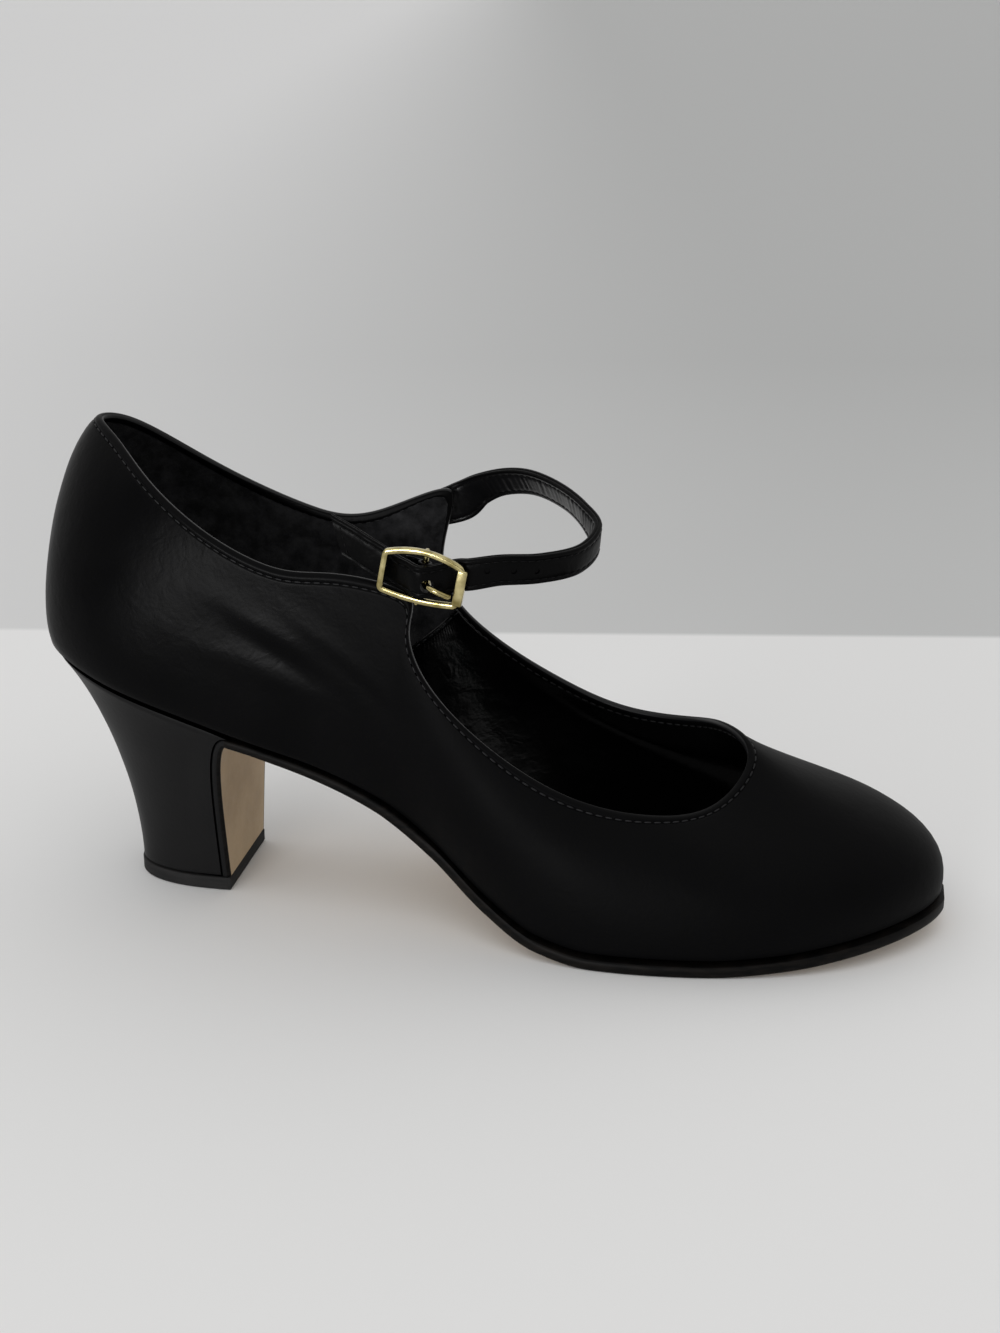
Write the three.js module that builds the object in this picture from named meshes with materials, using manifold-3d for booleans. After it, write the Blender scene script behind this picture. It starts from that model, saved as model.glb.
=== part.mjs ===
// A right character shoe: a low-cut leather upper on a thin leather sole, a covered block heel, and
// an instep strap held by a small metal buckle.
// Millimetres. +X runs to the toe, +Y to the medial side, +Z up, and the floor is z = 0.
// The shoe is worked out from the back of the heel seat, then moved so that the middle of the heel's
// floor face is the origin.

import * as THREE from "three";
import { mergeVertices } from "three/addons/utils/BufferGeometryUtils.js";
import Module from "manifold-3d";

const wasm = await Module();
wasm.setup();

// Driving dimensions
const LENGTH = 236; // last bottom, from the back of the seat to the toe
const BALL_WIDTH = 80; // across the feather line at the ball
const HEEL_HEIGHT = 66; // back of the seat above the floor
const BACK_HEIGHT = 60; // back of the collar above the seat
const WALL = 2; // leather and lining of the upper
const GAP = 0.3; // between pieces that meet
const SOLE_GAP = 0.4; // and between the curved upper and its sole
const SOLE = 3; // leather sole at the tread
const FLAP = 2.3; // the same leather where it covers the heel's breast
const SOLE_EDGE = 1.3; // how far the sole stands out past the upper
const LASTING = 9; // margin of the upper turned in under the foot
const INSOLE = 1.6;
const INSOLE_INSET = 1.2; // between the wall and the insole's edge
const INSOLE_SHORT = 1.2; // and once more at the back, where the seat turns up
const TOP_PIECE = 3.7; // rubber lift at the floor
const LIFT_EDGE = 0.2; // how far the lift stands out past the heel block
const STRAP = 2; // thickness of the folded and stitched strap
const HEEL_FRONT = 43.3; // front of the heel block at the floor
const HEEL_BACK = 17; // back of the heel block at the floor
const HEEL_FOOT = 16.2; // half width of the heel block at the floor
const HEEL_LIP = 51; // where the top of the heel block ends under the waist
const FLOOR_CENTRE = 30; // middle of the heel's floor face

const COLLAR_TOP = HEEL_HEIGHT + BACK_HEIGHT;

// The ring of sections runs from the back, along the lateral side, round the toe and back along the
// medial side. Feather line and topline, in per cent: x of LENGTH, y of BALL_WIDTH, z of COLLAR_TOP.
const SECTIONS = [
  { footX: -1.4, footY: -0.5, topX: 4.9, topY: 0.3, topZ: 100.0 },
  { footX: 0.3, footY: -19.2, topX: 8.0, topY: -10.7, topZ: 97.3 },
  { footX: 7.8, footY: -31.4, topX: 12.7, topY: -23.3, topZ: 90.9 },
  { footX: 18.2, footY: -33.6, topX: 19.7, topY: -30.9, topZ: 82.0 },
  { footX: 28.4, footY: -33.2, topX: 27.5, topY: -33.6, topZ: 76.0 },
  { footX: 34.7, footY: -33.0, topX: 34.2, topY: -34.9, topZ: 75.8 },
  { footX: 39.6, footY: -32.8, topX: 41.8, topY: -37.2, topZ: 73.1 },
  { footX: 45.6, footY: -35.0, topX: 42.1, topY: -38.6, topZ: 65.4 },
  { footX: 55.3, footY: -48.0, topX: 45.9, topY: -40.7, topZ: 51.4 },
  { footX: 67.4, footY: -52.7, topX: 57.4, topY: -41.6, topZ: 35.7 },
  { footX: 80.2, footY: -47.6, topX: 68.3, topY: -35.0, topZ: 29.8 },
  { footX: 90.6, footY: -34.6, topX: 74.7, topY: -20.0, topZ: 29.8 },
  { footX: 97.9, footY: -12.6, topX: 77.4, topY: -3.5, topZ: 36.4 },
  { footX: 98.6, footY: 10.4, topX: 74.3, topY: 12.6, topZ: 38.4 },
  { footX: 92.4, footY: 32.8, topX: 70.1, topY: 27.6, topZ: 35.6 },
  { footX: 83.5, footY: 45.1, topX: 62.3, topY: 36.3, topZ: 34.9 },
  { footX: 74.2, footY: 47.5, topX: 53.9, topY: 38.8, topZ: 40.5 },
  { footX: 59.2, footY: 38.8, topX: 45.9, topY: 38.3, topZ: 49.9 },
  { footX: 44.9, footY: 30.1, topX: 40.7, topY: 36.9, topZ: 65.2 },
  { footX: 38.1, footY: 29.9, topX: 41.8, topY: 35.0, topZ: 81.9 },
  { footX: 32.8, footY: 30.1, topX: 33.1, topY: 33.9, topZ: 76.8 },
  { footX: 24.6, footY: 31.3, topX: 25.0, topY: 32.6, topZ: 77.7 },
  { footX: 16.1, footY: 31.9, topX: 16.4, topY: 30.1, topZ: 84.9 },
  { footX: 7.6, footY: 28.8, topX: 9.4, topY: 22.5, topZ: 93.7 },
  { footX: 1.6, footY: 16.1, topX: 6.0, topY: 11.5, topZ: 98.9 },
];
const AROUND = SECTIONS.length;
const TOE = 12.4; // place of the toe's tip on the ring
const SEAT_END = 0.2; // places nearer the back than this lie across the seat's end

// How the wall swells between feather and topline, in millimetres, at places on the ring: it leaves
// the feather by rise and swell, and comes up to the topline from below by fall and spread, and from
// behind by back where the topline drops at the front of a quarter.
const BULGE = [
  { place: 0, rise: 15.0, swell: 4.5, fall: 5.5, spread: 13.2, back: 0 },
  { place: 2.5, rise: 15.7, swell: 4.9, fall: 14.1, spread: 3.2, back: 0 },
  { place: 4, rise: 15.6, swell: 3.9, fall: 15.6, spread: 1.6, back: 0 },
  { place: 5, rise: 15.4, swell: 4.5, fall: 16.9, spread: 1.5, back: -0.4 },
  { place: 6, rise: 14.3, swell: 5.6, fall: 17.0, spread: 1.1, back: 9.2 },
  { place: 7, rise: 13.7, swell: 6.2, fall: 15.4, spread: 1.0, back: 3.7 },
  { place: 8, rise: 14.6, swell: 4.4, fall: 10.8, spread: 1.9, back: -2.6 },
  { place: 9, rise: 13.4, swell: 4.6, fall: 10.7, spread: 6.5, back: 2.6 },
  { place: 11, rise: 17.6, swell: 4.7, fall: 8.3, spread: 20.3, back: 0 },
  { place: 12.5, rise: 25.0, swell: 4.8, fall: 15.9, spread: 20.8, back: 0 },
  { place: 14, rise: 23.3, swell: 7.1, fall: 16.8, spread: 16.2, back: 0 },
  { place: 16, rise: 16.0, swell: 5.6, fall: 14.6, spread: 5.1, back: -0.5 },
  { place: 17, rise: 16.0, swell: 6.0, fall: 13.1, spread: 1.5, back: -1.3 },
  { place: 18, rise: 14.5, swell: 6.4, fall: 14.9, spread: 0.8, back: 4.0 },
  { place: 19, rise: 14.8, swell: 5.5, fall: 16.7, spread: 1.2, back: 16.0 },
  { place: 20, rise: 15.7, swell: 4.6, fall: 15.4, spread: 1.9, back: -1.4 },
  { place: 21, rise: 16.3, swell: 3.8, fall: 15.2, spread: 2.8, back: 0 },
  { place: 22.5, rise: 17.0, swell: 4.2, fall: 11.8, spread: 8.9, back: 0 },
];

// Height of the last bottom along the shoe: seat, waist, flat tread and toe spring.
const TREAD_Z = SOLE + SOLE_GAP;
const LAST_BOTTOM = [
  { x: -8, z: HEEL_HEIGHT + 2.9 },
  { x: 0, z: HEEL_HEIGHT },
  { x: 20, z: 59.1 },
  { x: 38, z: 53.2 },
  { x: 55, z: 47.6 },
  { x: 74, z: 41.6 },
  { x: 90, z: 34.5 },
  { x: 105, z: 23.4 },
  { x: 120, z: 12.4 },
  { x: 134, z: 5.6 },
  { x: 148, z: TREAD_Z },
  { x: 176, z: TREAD_Z },
  { x: 195, z: 4.6 },
  { x: 215, z: 6.9 },
  { x: LENGTH, z: 9.0 },
];

// Side curve of the heel block between seat and floor, from its back (0) to its breast corner (1):
// the upper control point lies shoulderX, shoulderOut and shoulderZ from the seat's rim, the lower
// one footOut and footRise from the floor's rim.
const HEEL_SIDE = [
  { place: 0, shoulderX: 10, shoulderOut: 0, shoulderZ: -9, footOut: 0, footRise: 25 },
  { place: 0.5, shoulderX: 5, shoulderOut: -3.6, shoulderZ: -8, footOut: 0.5, footRise: 26 },
  { place: 0.85, shoulderX: -1, shoulderOut: -3, shoulderZ: -5, footOut: 3.5, footRise: 28 },
  { place: 1, shoulderX: -8, shoulderOut: -0.4, shoulderZ: 2.7, footOut: 5.8, footRise: 30 },
];

// Middle line of the strap past the wing that it is sewn to: lean is the turn of its top edge
// towards the foot, in degrees.
const STRAP_LOOP = [
  { x: 100.5, y: 30.8, z: 99.0, lean: 6, width: 10.8 },
  { x: 106, y: 29.6, z: 103.0, lean: 16, width: 8.8 },
  { x: 112.5, y: 27.2, z: 106.0, lean: 25, width: 7.9 },
  { x: 121, y: 22.3, z: 107.7, lean: 28, width: 7.9 },
  { x: 131, y: 13.2, z: 106.8, lean: 24, width: 8.0 },
  { x: 138.3, y: 3.2, z: 104.5, lean: 12, width: 8.1 },
  { x: 142.5, y: -6, z: 101.7, lean: -5, width: 7.9 },
  { x: 139.6, y: -15.6, z: 99.2, lean: -12, width: 7.8 },
  { x: 131, y: -25.0, z: 99.1, lean: -12, width: 7.8 },
  { x: 122, y: -30.2, z: 99.7, lean: -8, width: 7.9 },
];

// The strap through the buckle, in the buckle's own frame: along, up and out of its face.
const STRAP_IN_BUCKLE = [
  { along: 11.2, up: 3.1, out: -2.6, lean: -3, width: 8.0 },
  { along: 8.4, up: 2.2, out: -2.75, lean: -3, width: 8.1 },
  { along: 4, up: 0.4, out: -0.9, lean: -4, width: 8.1 },
  { along: 0, up: -0.5, out: 1.15, lean: -4, width: 8.1 },
  { along: -4, up: -0.4, out: -0.8, lean: -3, width: 8.0 },
  { along: -8.7, up: -0.15, out: -2.85, lean: -2, width: 8.3 },
];
const STRAP_TAIL = [
  { x: 89.4, y: -31.3, z: 102.5, lean: 0, width: 8.4 },
  { x: 86.0, y: -30.6, z: 104.3, lean: 0, width: 8.4 },
  { x: 82.2, y: -30.0, z: 106.1, lean: 0, width: 8.4 },
];
const TAIL_SLANT = { share: 0.045, rate: 0.88 }; // the tail's end is cut aslant
const STRAP_LAP = [19.75, 19.38]; // places on the ring where the strap's root is sewn on the wing
const LAP_HEIGHT = 0.865; // and how far up the wall it lies, 1 at the topline
const LAP_WIDTH = 9.2;

// Buckle
const BUCKLE_CENTRE = new THREE.Vector3(103.6, -34.6, 97.9);
const BUCKLE_TILT = 11; // degrees, toe end down
const BUCKLE_LENGTH = 20.8;
const RAIL_BOW = { top: 9.1, foot: -7.2 }; // control heights of the bowed rails
const BUCKLE_ENDS = 10.9; // height at the corners
const BUCKLE_CORNER = 1.6;
const RAIL = 1.6; // width of the frame's bars
const FRAME_DEPTH = 1.8;
const EDGE = 0.35; // rounding of the frame
const END_BAR = { width: 2.5, height: 9.2, depth: 2.2, past: 0.6 };
const CENTRE_BAR = { radius: 0.7, out: -2.4, half: 6.4 };
const HOLE = { along: 2.1, up: -1.1, radius: 1.6 };
const EYE = { up: -0.5, height: 2.2, radius: 1.75 };
const PRONG_RADIUS = 0.75;
const PRONG = [
  { along: 1.1, up: -0.6, out: -1.7 },
  { along: 1.9, up: -1.0, out: -0.2 },
  { along: 2.4, up: -1.15, out: 1.5 },
  { along: 4.2, up: -1.4, out: 2.4 },
  { along: 7.7, up: -2.15, out: 2.25 },
];
const TAB = { thickness: 0.8, width: 7.2, pared: 0.16 }; // pared: taken off the leaves beside the loops
const TAB_INSIDE = [
  { place: 5.95, height: 1.05, inset: 1.2 },
  { place: 5.75, height: 0.93, inset: 1.0 },
  { place: 5.6, height: 0.82, inset: 0.9 },
  { place: 5.5, height: 0.72, inset: 1.1 },
];

const UP = new THREE.Vector3(0, 0, 1);
const SWEEPS = 60; // passes that settle a closed spline's slopes

// Smooth closed curve through values at places on a ring that is `around` long.
function ring(places, values, around) {
  const n = places.length;
  const step = places.map((place, i) => (i + 1 < n ? places[i + 1] : places[0] + around) - place);
  const slope = values.map(() => 0);
  for (let sweep = 0; sweep < SWEEPS; sweep++) {
    for (let i = 0; i < n; i++) {
      const behind = (i + n - 1) % n;
      const ahead = (i + 1) % n;
      const before = step[behind];
      const after = step[i];
      const pull = 3 * (after * (values[i] - values[behind]) / before
        + before * (values[ahead] - values[i]) / after);
      slope[i] = (pull - after * slope[behind] - before * slope[ahead]) / (2 * (before + after));
    }
  }
  return (t) => {
    const u = ((t - places[0]) % around + around) % around + places[0];
    let i = n - 1;
    while (places[i] > u) i--;
    const j = (i + 1) % n;
    return hermite((u - places[i]) / step[i], values[i], values[j], slope[i] * step[i], slope[j] * step[i]);
  };
}

function hermite(s, from, to, leave, arrive) {
  const s2 = s * s;
  const s3 = s2 * s;
  return from * (2 * s3 - 3 * s2 + 1) + leave * (s3 - 2 * s2 + s) + to * (3 * s2 - 2 * s3) + arrive * (s3 - s2);
}

// Open curve through values at rising places, flat wherever two neighbours are equal.
function course(places, values) {
  const rate = values.slice(1).map((value, i) => (value - values[i]) / (places[i + 1] - places[i]));
  const slope = values.map((value, i) => {
    if (i === 0) return rate[0];
    if (i === rate.length) return rate[i - 1];
    if (rate[i - 1] * rate[i] <= 0) return 0;
    return 2 * rate[i - 1] * rate[i] / (rate[i - 1] + rate[i]);
  });
  return (x) => {
    let i = 0;
    while (i < rate.length - 1 && places[i + 1] < x) i++;
    const step = places[i + 1] - places[i];
    return hermite((x - places[i]) / step, values[i], values[i + 1], slope[i] * step, slope[i + 1] * step);
  };
}

const column = (rows, name, scale = 1) => rows.map((row) => row[name] * scale);
const places = SECTIONS.map((row, i) => i);
const footX = ring(places, column(SECTIONS, "footX", LENGTH / 100), AROUND);
const footY = ring(places, column(SECTIONS, "footY", BALL_WIDTH / 100), AROUND);
const topX = ring(places, column(SECTIONS, "topX", LENGTH / 100), AROUND);
const topY = ring(places, column(SECTIONS, "topY", BALL_WIDTH / 100), AROUND);
const topZ = ring(places, column(SECTIONS, "topZ", COLLAR_TOP / 100), AROUND);
const bulgePlaces = column(BULGE, "place");
const rise = ring(bulgePlaces, column(BULGE, "rise"), AROUND);
const swell = ring(bulgePlaces, column(BULGE, "swell"), AROUND);
const fall = ring(bulgePlaces, column(BULGE, "fall"), AROUND);
const spread = ring(bulgePlaces, column(BULGE, "spread"), AROUND);
const back = ring(bulgePlaces, column(BULGE, "back"), AROUND);
const bottom = course(column(LAST_BOTTOM, "x"), column(LAST_BOTTOM, "z"));

const NUDGE = 0.01;
const bottomSlope = (x) => (bottom(x + NUDGE) - bottom(x - NUDGE)) / (2 * NUDGE);

// Level direction out of the feather line at a place on the ring.
function outward(t) {
  const dx = footX(t + NUDGE) - footX(t - NUDGE);
  const dy = footY(t + NUDGE) - footY(t - NUDGE);
  return new THREE.Vector3(dy, -dx, 0).normalize();
}

function bezier(a, b, c, d, s) {
  const r = 1 - s;
  return new THREE.Vector3()
    .addScaledVector(a, r * r * r)
    .addScaledVector(b, 3 * r * r * s)
    .addScaledVector(c, 3 * r * s * s)
    .addScaledVector(d, s * s * s);
}

// Outer face of the upper: t round the ring, height 0 at the feather and 1 at the topline.
function wall(t, height) {
  const out = outward(t);
  const foot = new THREE.Vector3(footX(t), footY(t), bottom(footX(t)));
  const top = new THREE.Vector3(topX(t), topY(t), topZ(t));
  const low = foot.clone().addScaledVector(UP, rise(t)).addScaledVector(out, swell(t));
  const high = top.clone().addScaledVector(UP, -fall(t)).addScaledVector(out, spread(t));
  high.x -= back(t);
  return bezier(foot, low, high, top, height);
}

function wallNormal(t, height) {
  const along = wall(t + NUDGE, height).sub(wall(t - NUDGE, height));
  const rising = wall(t, height + NUDGE).sub(wall(t, height - NUDGE));
  return along.cross(rising).normalize();
}

const offWall = (t, height, distance) => wall(t, height).addScaledVector(wallNormal(t, height), distance);

// Triangles as a geometry whose faces point out.
function geometryOf(points, faces) {
  let volume = 0;
  for (const [a, b, c] of faces) {
    volume += points[a].dot(new THREE.Vector3().crossVectors(points[b], points[c]));
  }
  const turned = volume < 0 ? faces.map(([a, b, c]) => [a, c, b]) : faces;
  const geometry = new THREE.BufferGeometry();
  geometry.setAttribute("position", new THREE.Float32BufferAttribute(points.flatMap((p) => [p.x, p.y, p.z]), 3));
  geometry.setIndex(turned.flat());
  geometry.computeVertexNormals();
  return geometry;
}

// Skin over a row of closed loops with equal numbers of points. A closed row joins its last loop to
// its first; an open one is capped by strips between points i and n - 1 - i of its end loops.
function skin(loops, closed) {
  const n = loops[0].length;
  const points = loops.flat();
  const faces = [];
  const quad = (a, b, c, d) => faces.push([a, b, c], [a, c, d]);
  const spans = closed ? loops.length : loops.length - 1;
  for (let i = 0; i < spans; i++) {
    const here = i * n;
    const next = ((i + 1) % loops.length) * n;
    for (let j = 0; j < n; j++) {
      const k = (j + 1) % n;
      quad(here + j, here + k, next + k, next + j);
    }
  }
  if (!closed) {
    for (let j = 0; j < n / 2 - 1; j++) {
      const far = n - 1 - j;
      const end = (loops.length - 1) * n;
      quad(j, far, far - 1, j + 1);
      quad(end + j, end + j + 1, end + far - 1, end + far);
    }
  }
  return geometryOf(points, faces);
}

function solid(geometry) {
  const bare = geometry.index ? geometry.clone() : geometry;
  for (const name of Object.keys(bare.attributes)) {
    if (name !== "position") bare.deleteAttribute(name);
  }
  const merged = mergeVertices(bare, 1e-4);
  return new wasm.Manifold(new wasm.Mesh({
    numProp: 3,
    vertProperties: new Float32Array(merged.attributes.position.array),
    triVerts: new Uint32Array(merged.index.array),
  }));
}

function fromSolid(body) {
  const mesh = body.getMesh();
  const geometry = new THREE.BufferGeometry();
  geometry.setAttribute("position", new THREE.BufferAttribute(new Float32Array(mesh.vertProperties), 3));
  geometry.setIndex(Array.from(mesh.triVerts));
  geometry.computeVertexNormals();
  return geometry;
}

const join = (geometries) => geometries.map(solid).reduce((sum, body) => sum.add(body));

function mesh(name, geometry, color, roughness, metalness = 0) {
  const piece = new THREE.Mesh(geometry, new THREE.MeshStandardMaterial({ color, roughness, metalness }));
  piece.name = name;
  return piece;
}

// Places round the ring, closer together where the topline turns at its two peaks.
function ringSteps() {
  const steps = [];
  for (let t = 0; t < AROUND - NUDGE; t += tight(t) ? 0.125 : 0.25) steps.push(t);
  return steps;
}

const tight = (t) => (t >= 5.5 && t < 7.5) || (t >= 18 && t < 20);

// The upper: one hollow wall, open at the collar and throat and, inside its turned-in margin, below.
function upperGeometry() {
  const outer = [1, 0.9, 0.78, 0.64, 0.5, 0.37, 0.25, 0.14, 0.06, 0];
  const inner = [0.14, 0.25, 0.37, 0.5, 0.64, 0.78, 0.9, 1];
  const loops = ringSteps().map((t) => {
    const out = outward(t);
    const corner = (WALL + 0.6) / (3 * rise(t));
    const marginAt = (inset, lift) => {
      const x = footX(t) - out.x * inset;
      return new THREE.Vector3(x, footY(t) - out.y * inset, bottom(x) + lift);
    };
    return [
      ...outer.map((height) => wall(t, height)),
      marginAt(LASTING / 2, 0),
      marginAt(LASTING, 0),
      marginAt(LASTING, WALL),
      marginAt(WALL + 1, WALL),
      offWall(t, corner, -WALL),
      ...inner.map((height) => offWall(t, height, -WALL)),
    ];
  });
  return skin(loops, true);
}

// Half width of the last bottom at x, grown by `edge`: negative on the lateral side.
function sideAt(x, edge, lateral) {
  let near = lateral ? SEAT_END : AROUND - SEAT_END;
  let far = TOE;
  for (let i = 0; i < 40; i++) {
    const t = (near + far) / 2;
    if (footX(t) + outward(t).x * edge < x) near = t;
    else far = t;
  }
  return footY(near) + outward(near).y * edge;
}

// A loop across the shoe: lateral edge to medial edge on the upper face and back on the lower face.
function slabLoop(x, lateral, medial, top, under, lean = 0) {
  const shares = [0, 0.5, 1];
  const upper = shares.map((s) => new THREE.Vector3(x, lateral + (medial - lateral) * s, top));
  const lower = shares.map((s) => new THREE.Vector3(x + lean, lateral + (medial - lateral) * s, under));
  return [...upper, ...lower.reverse()];
}

// Stations from a to b, closer together at an end that is rounded in plan.
function stations(a, b, count, roundStart) {
  return Array.from({ length: count + 1 }, (_, i) => {
    const s = i / count;
    const eased = roundStart ? (1 - Math.cos(Math.PI * s)) / 2 : Math.sin(Math.PI * s / 2);
    return a + (b - a) * eased;
  });
}

function insoleGeometry() {
  const edge = -(WALL + INSOLE_INSET);
  const heelEnd = footX(0) - edge + INSOLE_SHORT;
  const toeEnd = footX(TOE) + edge - 0.1;
  return skin(stations(heelEnd, toeEnd, 30, true).map((x) => {
    const under = bottom(x) + (WALL + GAP) * Math.hypot(1, bottomSlope(x));
    return slabLoop(x, sideAt(x, edge, true), sideAt(x, edge, false), under + INSOLE, under);
  }), false);
}

// Heel block
const heelColumn = (name) => course(column(HEEL_SIDE, "place"), column(HEEL_SIDE, name));
const shoulderX = heelColumn("shoulderX");
const shoulderOut = heelColumn("shoulderOut");
const shoulderZ = heelColumn("shoulderZ");
const footOut = heelColumn("footOut");
const footRise = heelColumn("footRise");
const HEEL_ROUNDNESS = 0.8; // of the floor outline, 1 for an ellipse
const SEAT_RIM = 0.4; // how far the block's seat rim lies inside the feather line
const LIP_DROP = 0.4;

// Place on the ring where the feather line reaches x on one side of the seat.
function seatPlace(x, lateral) {
  let near = 0;
  let far = lateral ? 6 : -6;
  for (let i = 0; i < 40; i++) {
    const t = (near + far) / 2;
    if (footX(t) < x) near = t;
    else far = t;
  }
  return near;
}

const LATERAL_LIP = seatPlace(HEEL_LIP, true);
const MEDIAL_LIP = seatPlace(HEEL_LIP, false);

// Rim of the heel at the floor: side runs from -1, the lateral breast corner, to 1, the medial one.
function heelFoot(side, z, grow = 0) {
  const angle = Math.abs(side) * Math.PI / 2;
  const depth = (HEEL_FRONT - HEEL_BACK + grow) * Math.cos(angle) ** HEEL_ROUNDNESS;
  const half = (HEEL_FOOT + grow) * Math.sin(angle) ** HEEL_ROUNDNESS;
  return new THREE.Vector3(HEEL_FRONT - depth, Math.sign(side) * half, z);
}

// Side face of the heel: side as above, depth 0 at the seat and 1 at the floor rim.
function heelSide(side, depth) {
  const t = side < 0 ? -side * LATERAL_LIP : side * MEDIAL_LIP;
  const place = Math.abs(side);
  const sign = Math.sign(side);
  const lip = place ** 6; // the seat's rim thins to the lip only at the breast corners
  const out = outward(t);
  const seat = new THREE.Vector3(footX(t) - out.x * SEAT_RIM, footY(t) - out.y * SEAT_RIM, 0);
  seat.z = bottom(seat.x) - GAP - LIP_DROP * lip;
  const foot = heelFoot(side, TOP_PIECE + GAP);
  const high = seat.clone().add(new THREE.Vector3(
    shoulderX(place), sign * shoulderOut(place), shoulderZ(place)));
  const low = foot.clone().add(new THREE.Vector3(0, sign * footOut(place), footRise(place)));
  return bezier(seat, high, low, foot, depth);
}

const heelDepths = [0, 0.07, 0.14, 0.22, 0.31, 0.42, 0.54, 0.66, 0.78, 0.9, 1];
const heelSides = Array.from({ length: 21 }, (_, i) => i / 10 - 1);

// The covered block: level loops round back and sides, closed straight across the breast.
function heelGeometry() {
  const loops = heelDepths.map((depth) => heelSides.map((side) => heelSide(side, depth)));
  loops.forEach((loop) => {
    const middle = loop[0].clone().add(loop[loop.length - 1]).multiplyScalar(0.5);
    loop.push(middle);
  });
  return skin(loops, false);
}

// Rubber lift under the heel and the flap: a D with its straight side at the breast.
const topPieceFront = HEEL_FRONT + GAP + FLAP;
function topPieceGeometry() {
  const outline = new THREE.Shape();
  outline.moveTo(topPieceFront, -HEEL_FOOT);
  for (const side of heelSides) {
    const rim = heelFoot(side, 0, LIFT_EDGE);
    outline.lineTo(rim.x, rim.y);
  }
  outline.lineTo(topPieceFront, HEEL_FOOT);
  return new THREE.ExtrudeGeometry(outline, { depth: TOP_PIECE, bevelEnabled: false });
}

// The outsole: tread and waist under the last, then bent down over the heel's breast as a flap.
function outsoleGeometry() {
  const loops = [];
  const flapDepths = [1, 0.85, 0.7, 0.55, 0.42, 0.31, 0.22, 0.14, 0.07];
  for (const depth of flapDepths) {
    const here = heelSide(-1, depth);
    const there = heelSide(1, depth);
    const along = heelSide(-1, depth - NUDGE).sub(heelSide(-1, depth + NUDGE));
    const ahead = new THREE.Vector3(along.z, 0, -along.x).normalize();
    const x = here.x + ahead.x * GAP;
    const z = here.z + ahead.z * GAP;
    loops.push(slabLoop(x, here.y, there.y, z, z + ahead.z * FLAP, ahead.x * FLAP));
  }
  const waist = stations(HEEL_LIP + 5, footX(TOE) + SOLE_EDGE - 0.1, 34, false);
  for (const x of waist) {
    const steep = Math.hypot(1, bottomSlope(x));
    const proud = SOLE_EDGE * THREE.MathUtils.smoothstep(x, HEEL_LIP, LENGTH / 2);
    const top = bottom(x) - SOLE_GAP * steep;
    const thick = THREE.MathUtils.lerp(FLAP, SOLE, THREE.MathUtils.smoothstep(x, HEEL_LIP, LENGTH / 2));
    const under = top - thick * steep;
    loops.push(slabLoop(x, sideAt(x, proud, true), sideAt(x, proud, false), top, under));
  }
  return skin(loops, false);
}

// The buckle's frame of reference: X along it to the toe end, Y up it, Z out of its face.
function buckleFrame() {
  const tilt = THREE.MathUtils.degToRad(BUCKLE_TILT);
  const along = new THREE.Vector3(Math.cos(tilt), 0, -Math.sin(tilt));
  const out = new THREE.Vector3(0, -1, 0);
  const up = new THREE.Vector3().crossVectors(out, along);
  return new THREE.Matrix4().makeBasis(along, up, out).setPosition(BUCKLE_CENTRE);
}

const FRAME = buckleFrame();
const inShoe = (row) => new THREE.Vector3(row.along, row.up, row.out).applyMatrix4(FRAME);

// A flat band along rows of middle points, with the lean and width that each row gives. Its last share
// is slanted, so that the top edge runs on past the lower one by slant.rate of the width.
function band(rows, thickness, steps, slant = { share: 1, rate: 0 }) {
  const curve = new THREE.CatmullRomCurve3(rows.map((row) => new THREE.Vector3(row.x, row.y, row.z)));
  const along = rows.map((row, i) => i);
  const leanAt = course(along, column(rows, "lean"));
  const widthAt = course(along, column(rows, "width"));
  const corner = thickness * 0.3;
  const loops = Array.from({ length: steps + 1 }, (_, i) => {
    const s = i / steps;
    const middle = curve.getPoint(s);
    const ahead = curve.getTangent(s);
    const tall = UP.clone().addScaledVector(ahead, -UP.dot(ahead)).normalize();
    const lean = THREE.MathUtils.degToRad(leanAt(s * (rows.length - 1)));
    const across = tall.applyAxisAngle(ahead, lean);
    const inward = new THREE.Vector3().crossVectors(ahead, across);
    const half = widthAt(s * (rows.length - 1)) / 2;
    const deep = thickness / 2;
    const section = [
      [half, deep - corner], [half - corner, deep], [corner - half, deep], [-half, deep - corner],
      [-half, corner - deep], [corner - half, -deep], [half - corner, -deep], [half, corner - deep],
    ];
    const slide = slant.rate * THREE.MathUtils.smoothstep(s, 1 - slant.share, 1);
    return section.map(([w, d]) => middle.clone()
      .addScaledVector(across, w)
      .addScaledVector(inward, d)
      .addScaledVector(ahead, w * slide));
  });
  return skin(loops, false);
}

function strapRows() {
  const lap = STRAP_LAP.map((place) => {
    const middle = offWall(place, LAP_HEIGHT, GAP + STRAP / 2);
    return { x: middle.x, y: middle.y, z: middle.z, lean: 4, width: LAP_WIDTH };
  });
  const threaded = STRAP_IN_BUCKLE.map((row) => {
    const middle = inShoe(row);
    return { x: middle.x, y: middle.y, z: middle.z, lean: row.lean, width: row.width };
  });
  return [...lap, ...STRAP_LOOP, ...threaded, ...STRAP_TAIL];
}

function strapGeometry() {
  const hole = new THREE.CylinderGeometry(HOLE.radius, HOLE.radius, 12, 12);
  hole.rotateX(Math.PI / 2).translate(HOLE.along, HOLE.up, 0).applyMatrix4(FRAME);
  return fromSolid(solid(band(strapRows(), STRAP, 66, TAIL_SLANT)).subtract(solid(hole)));
}

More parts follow.
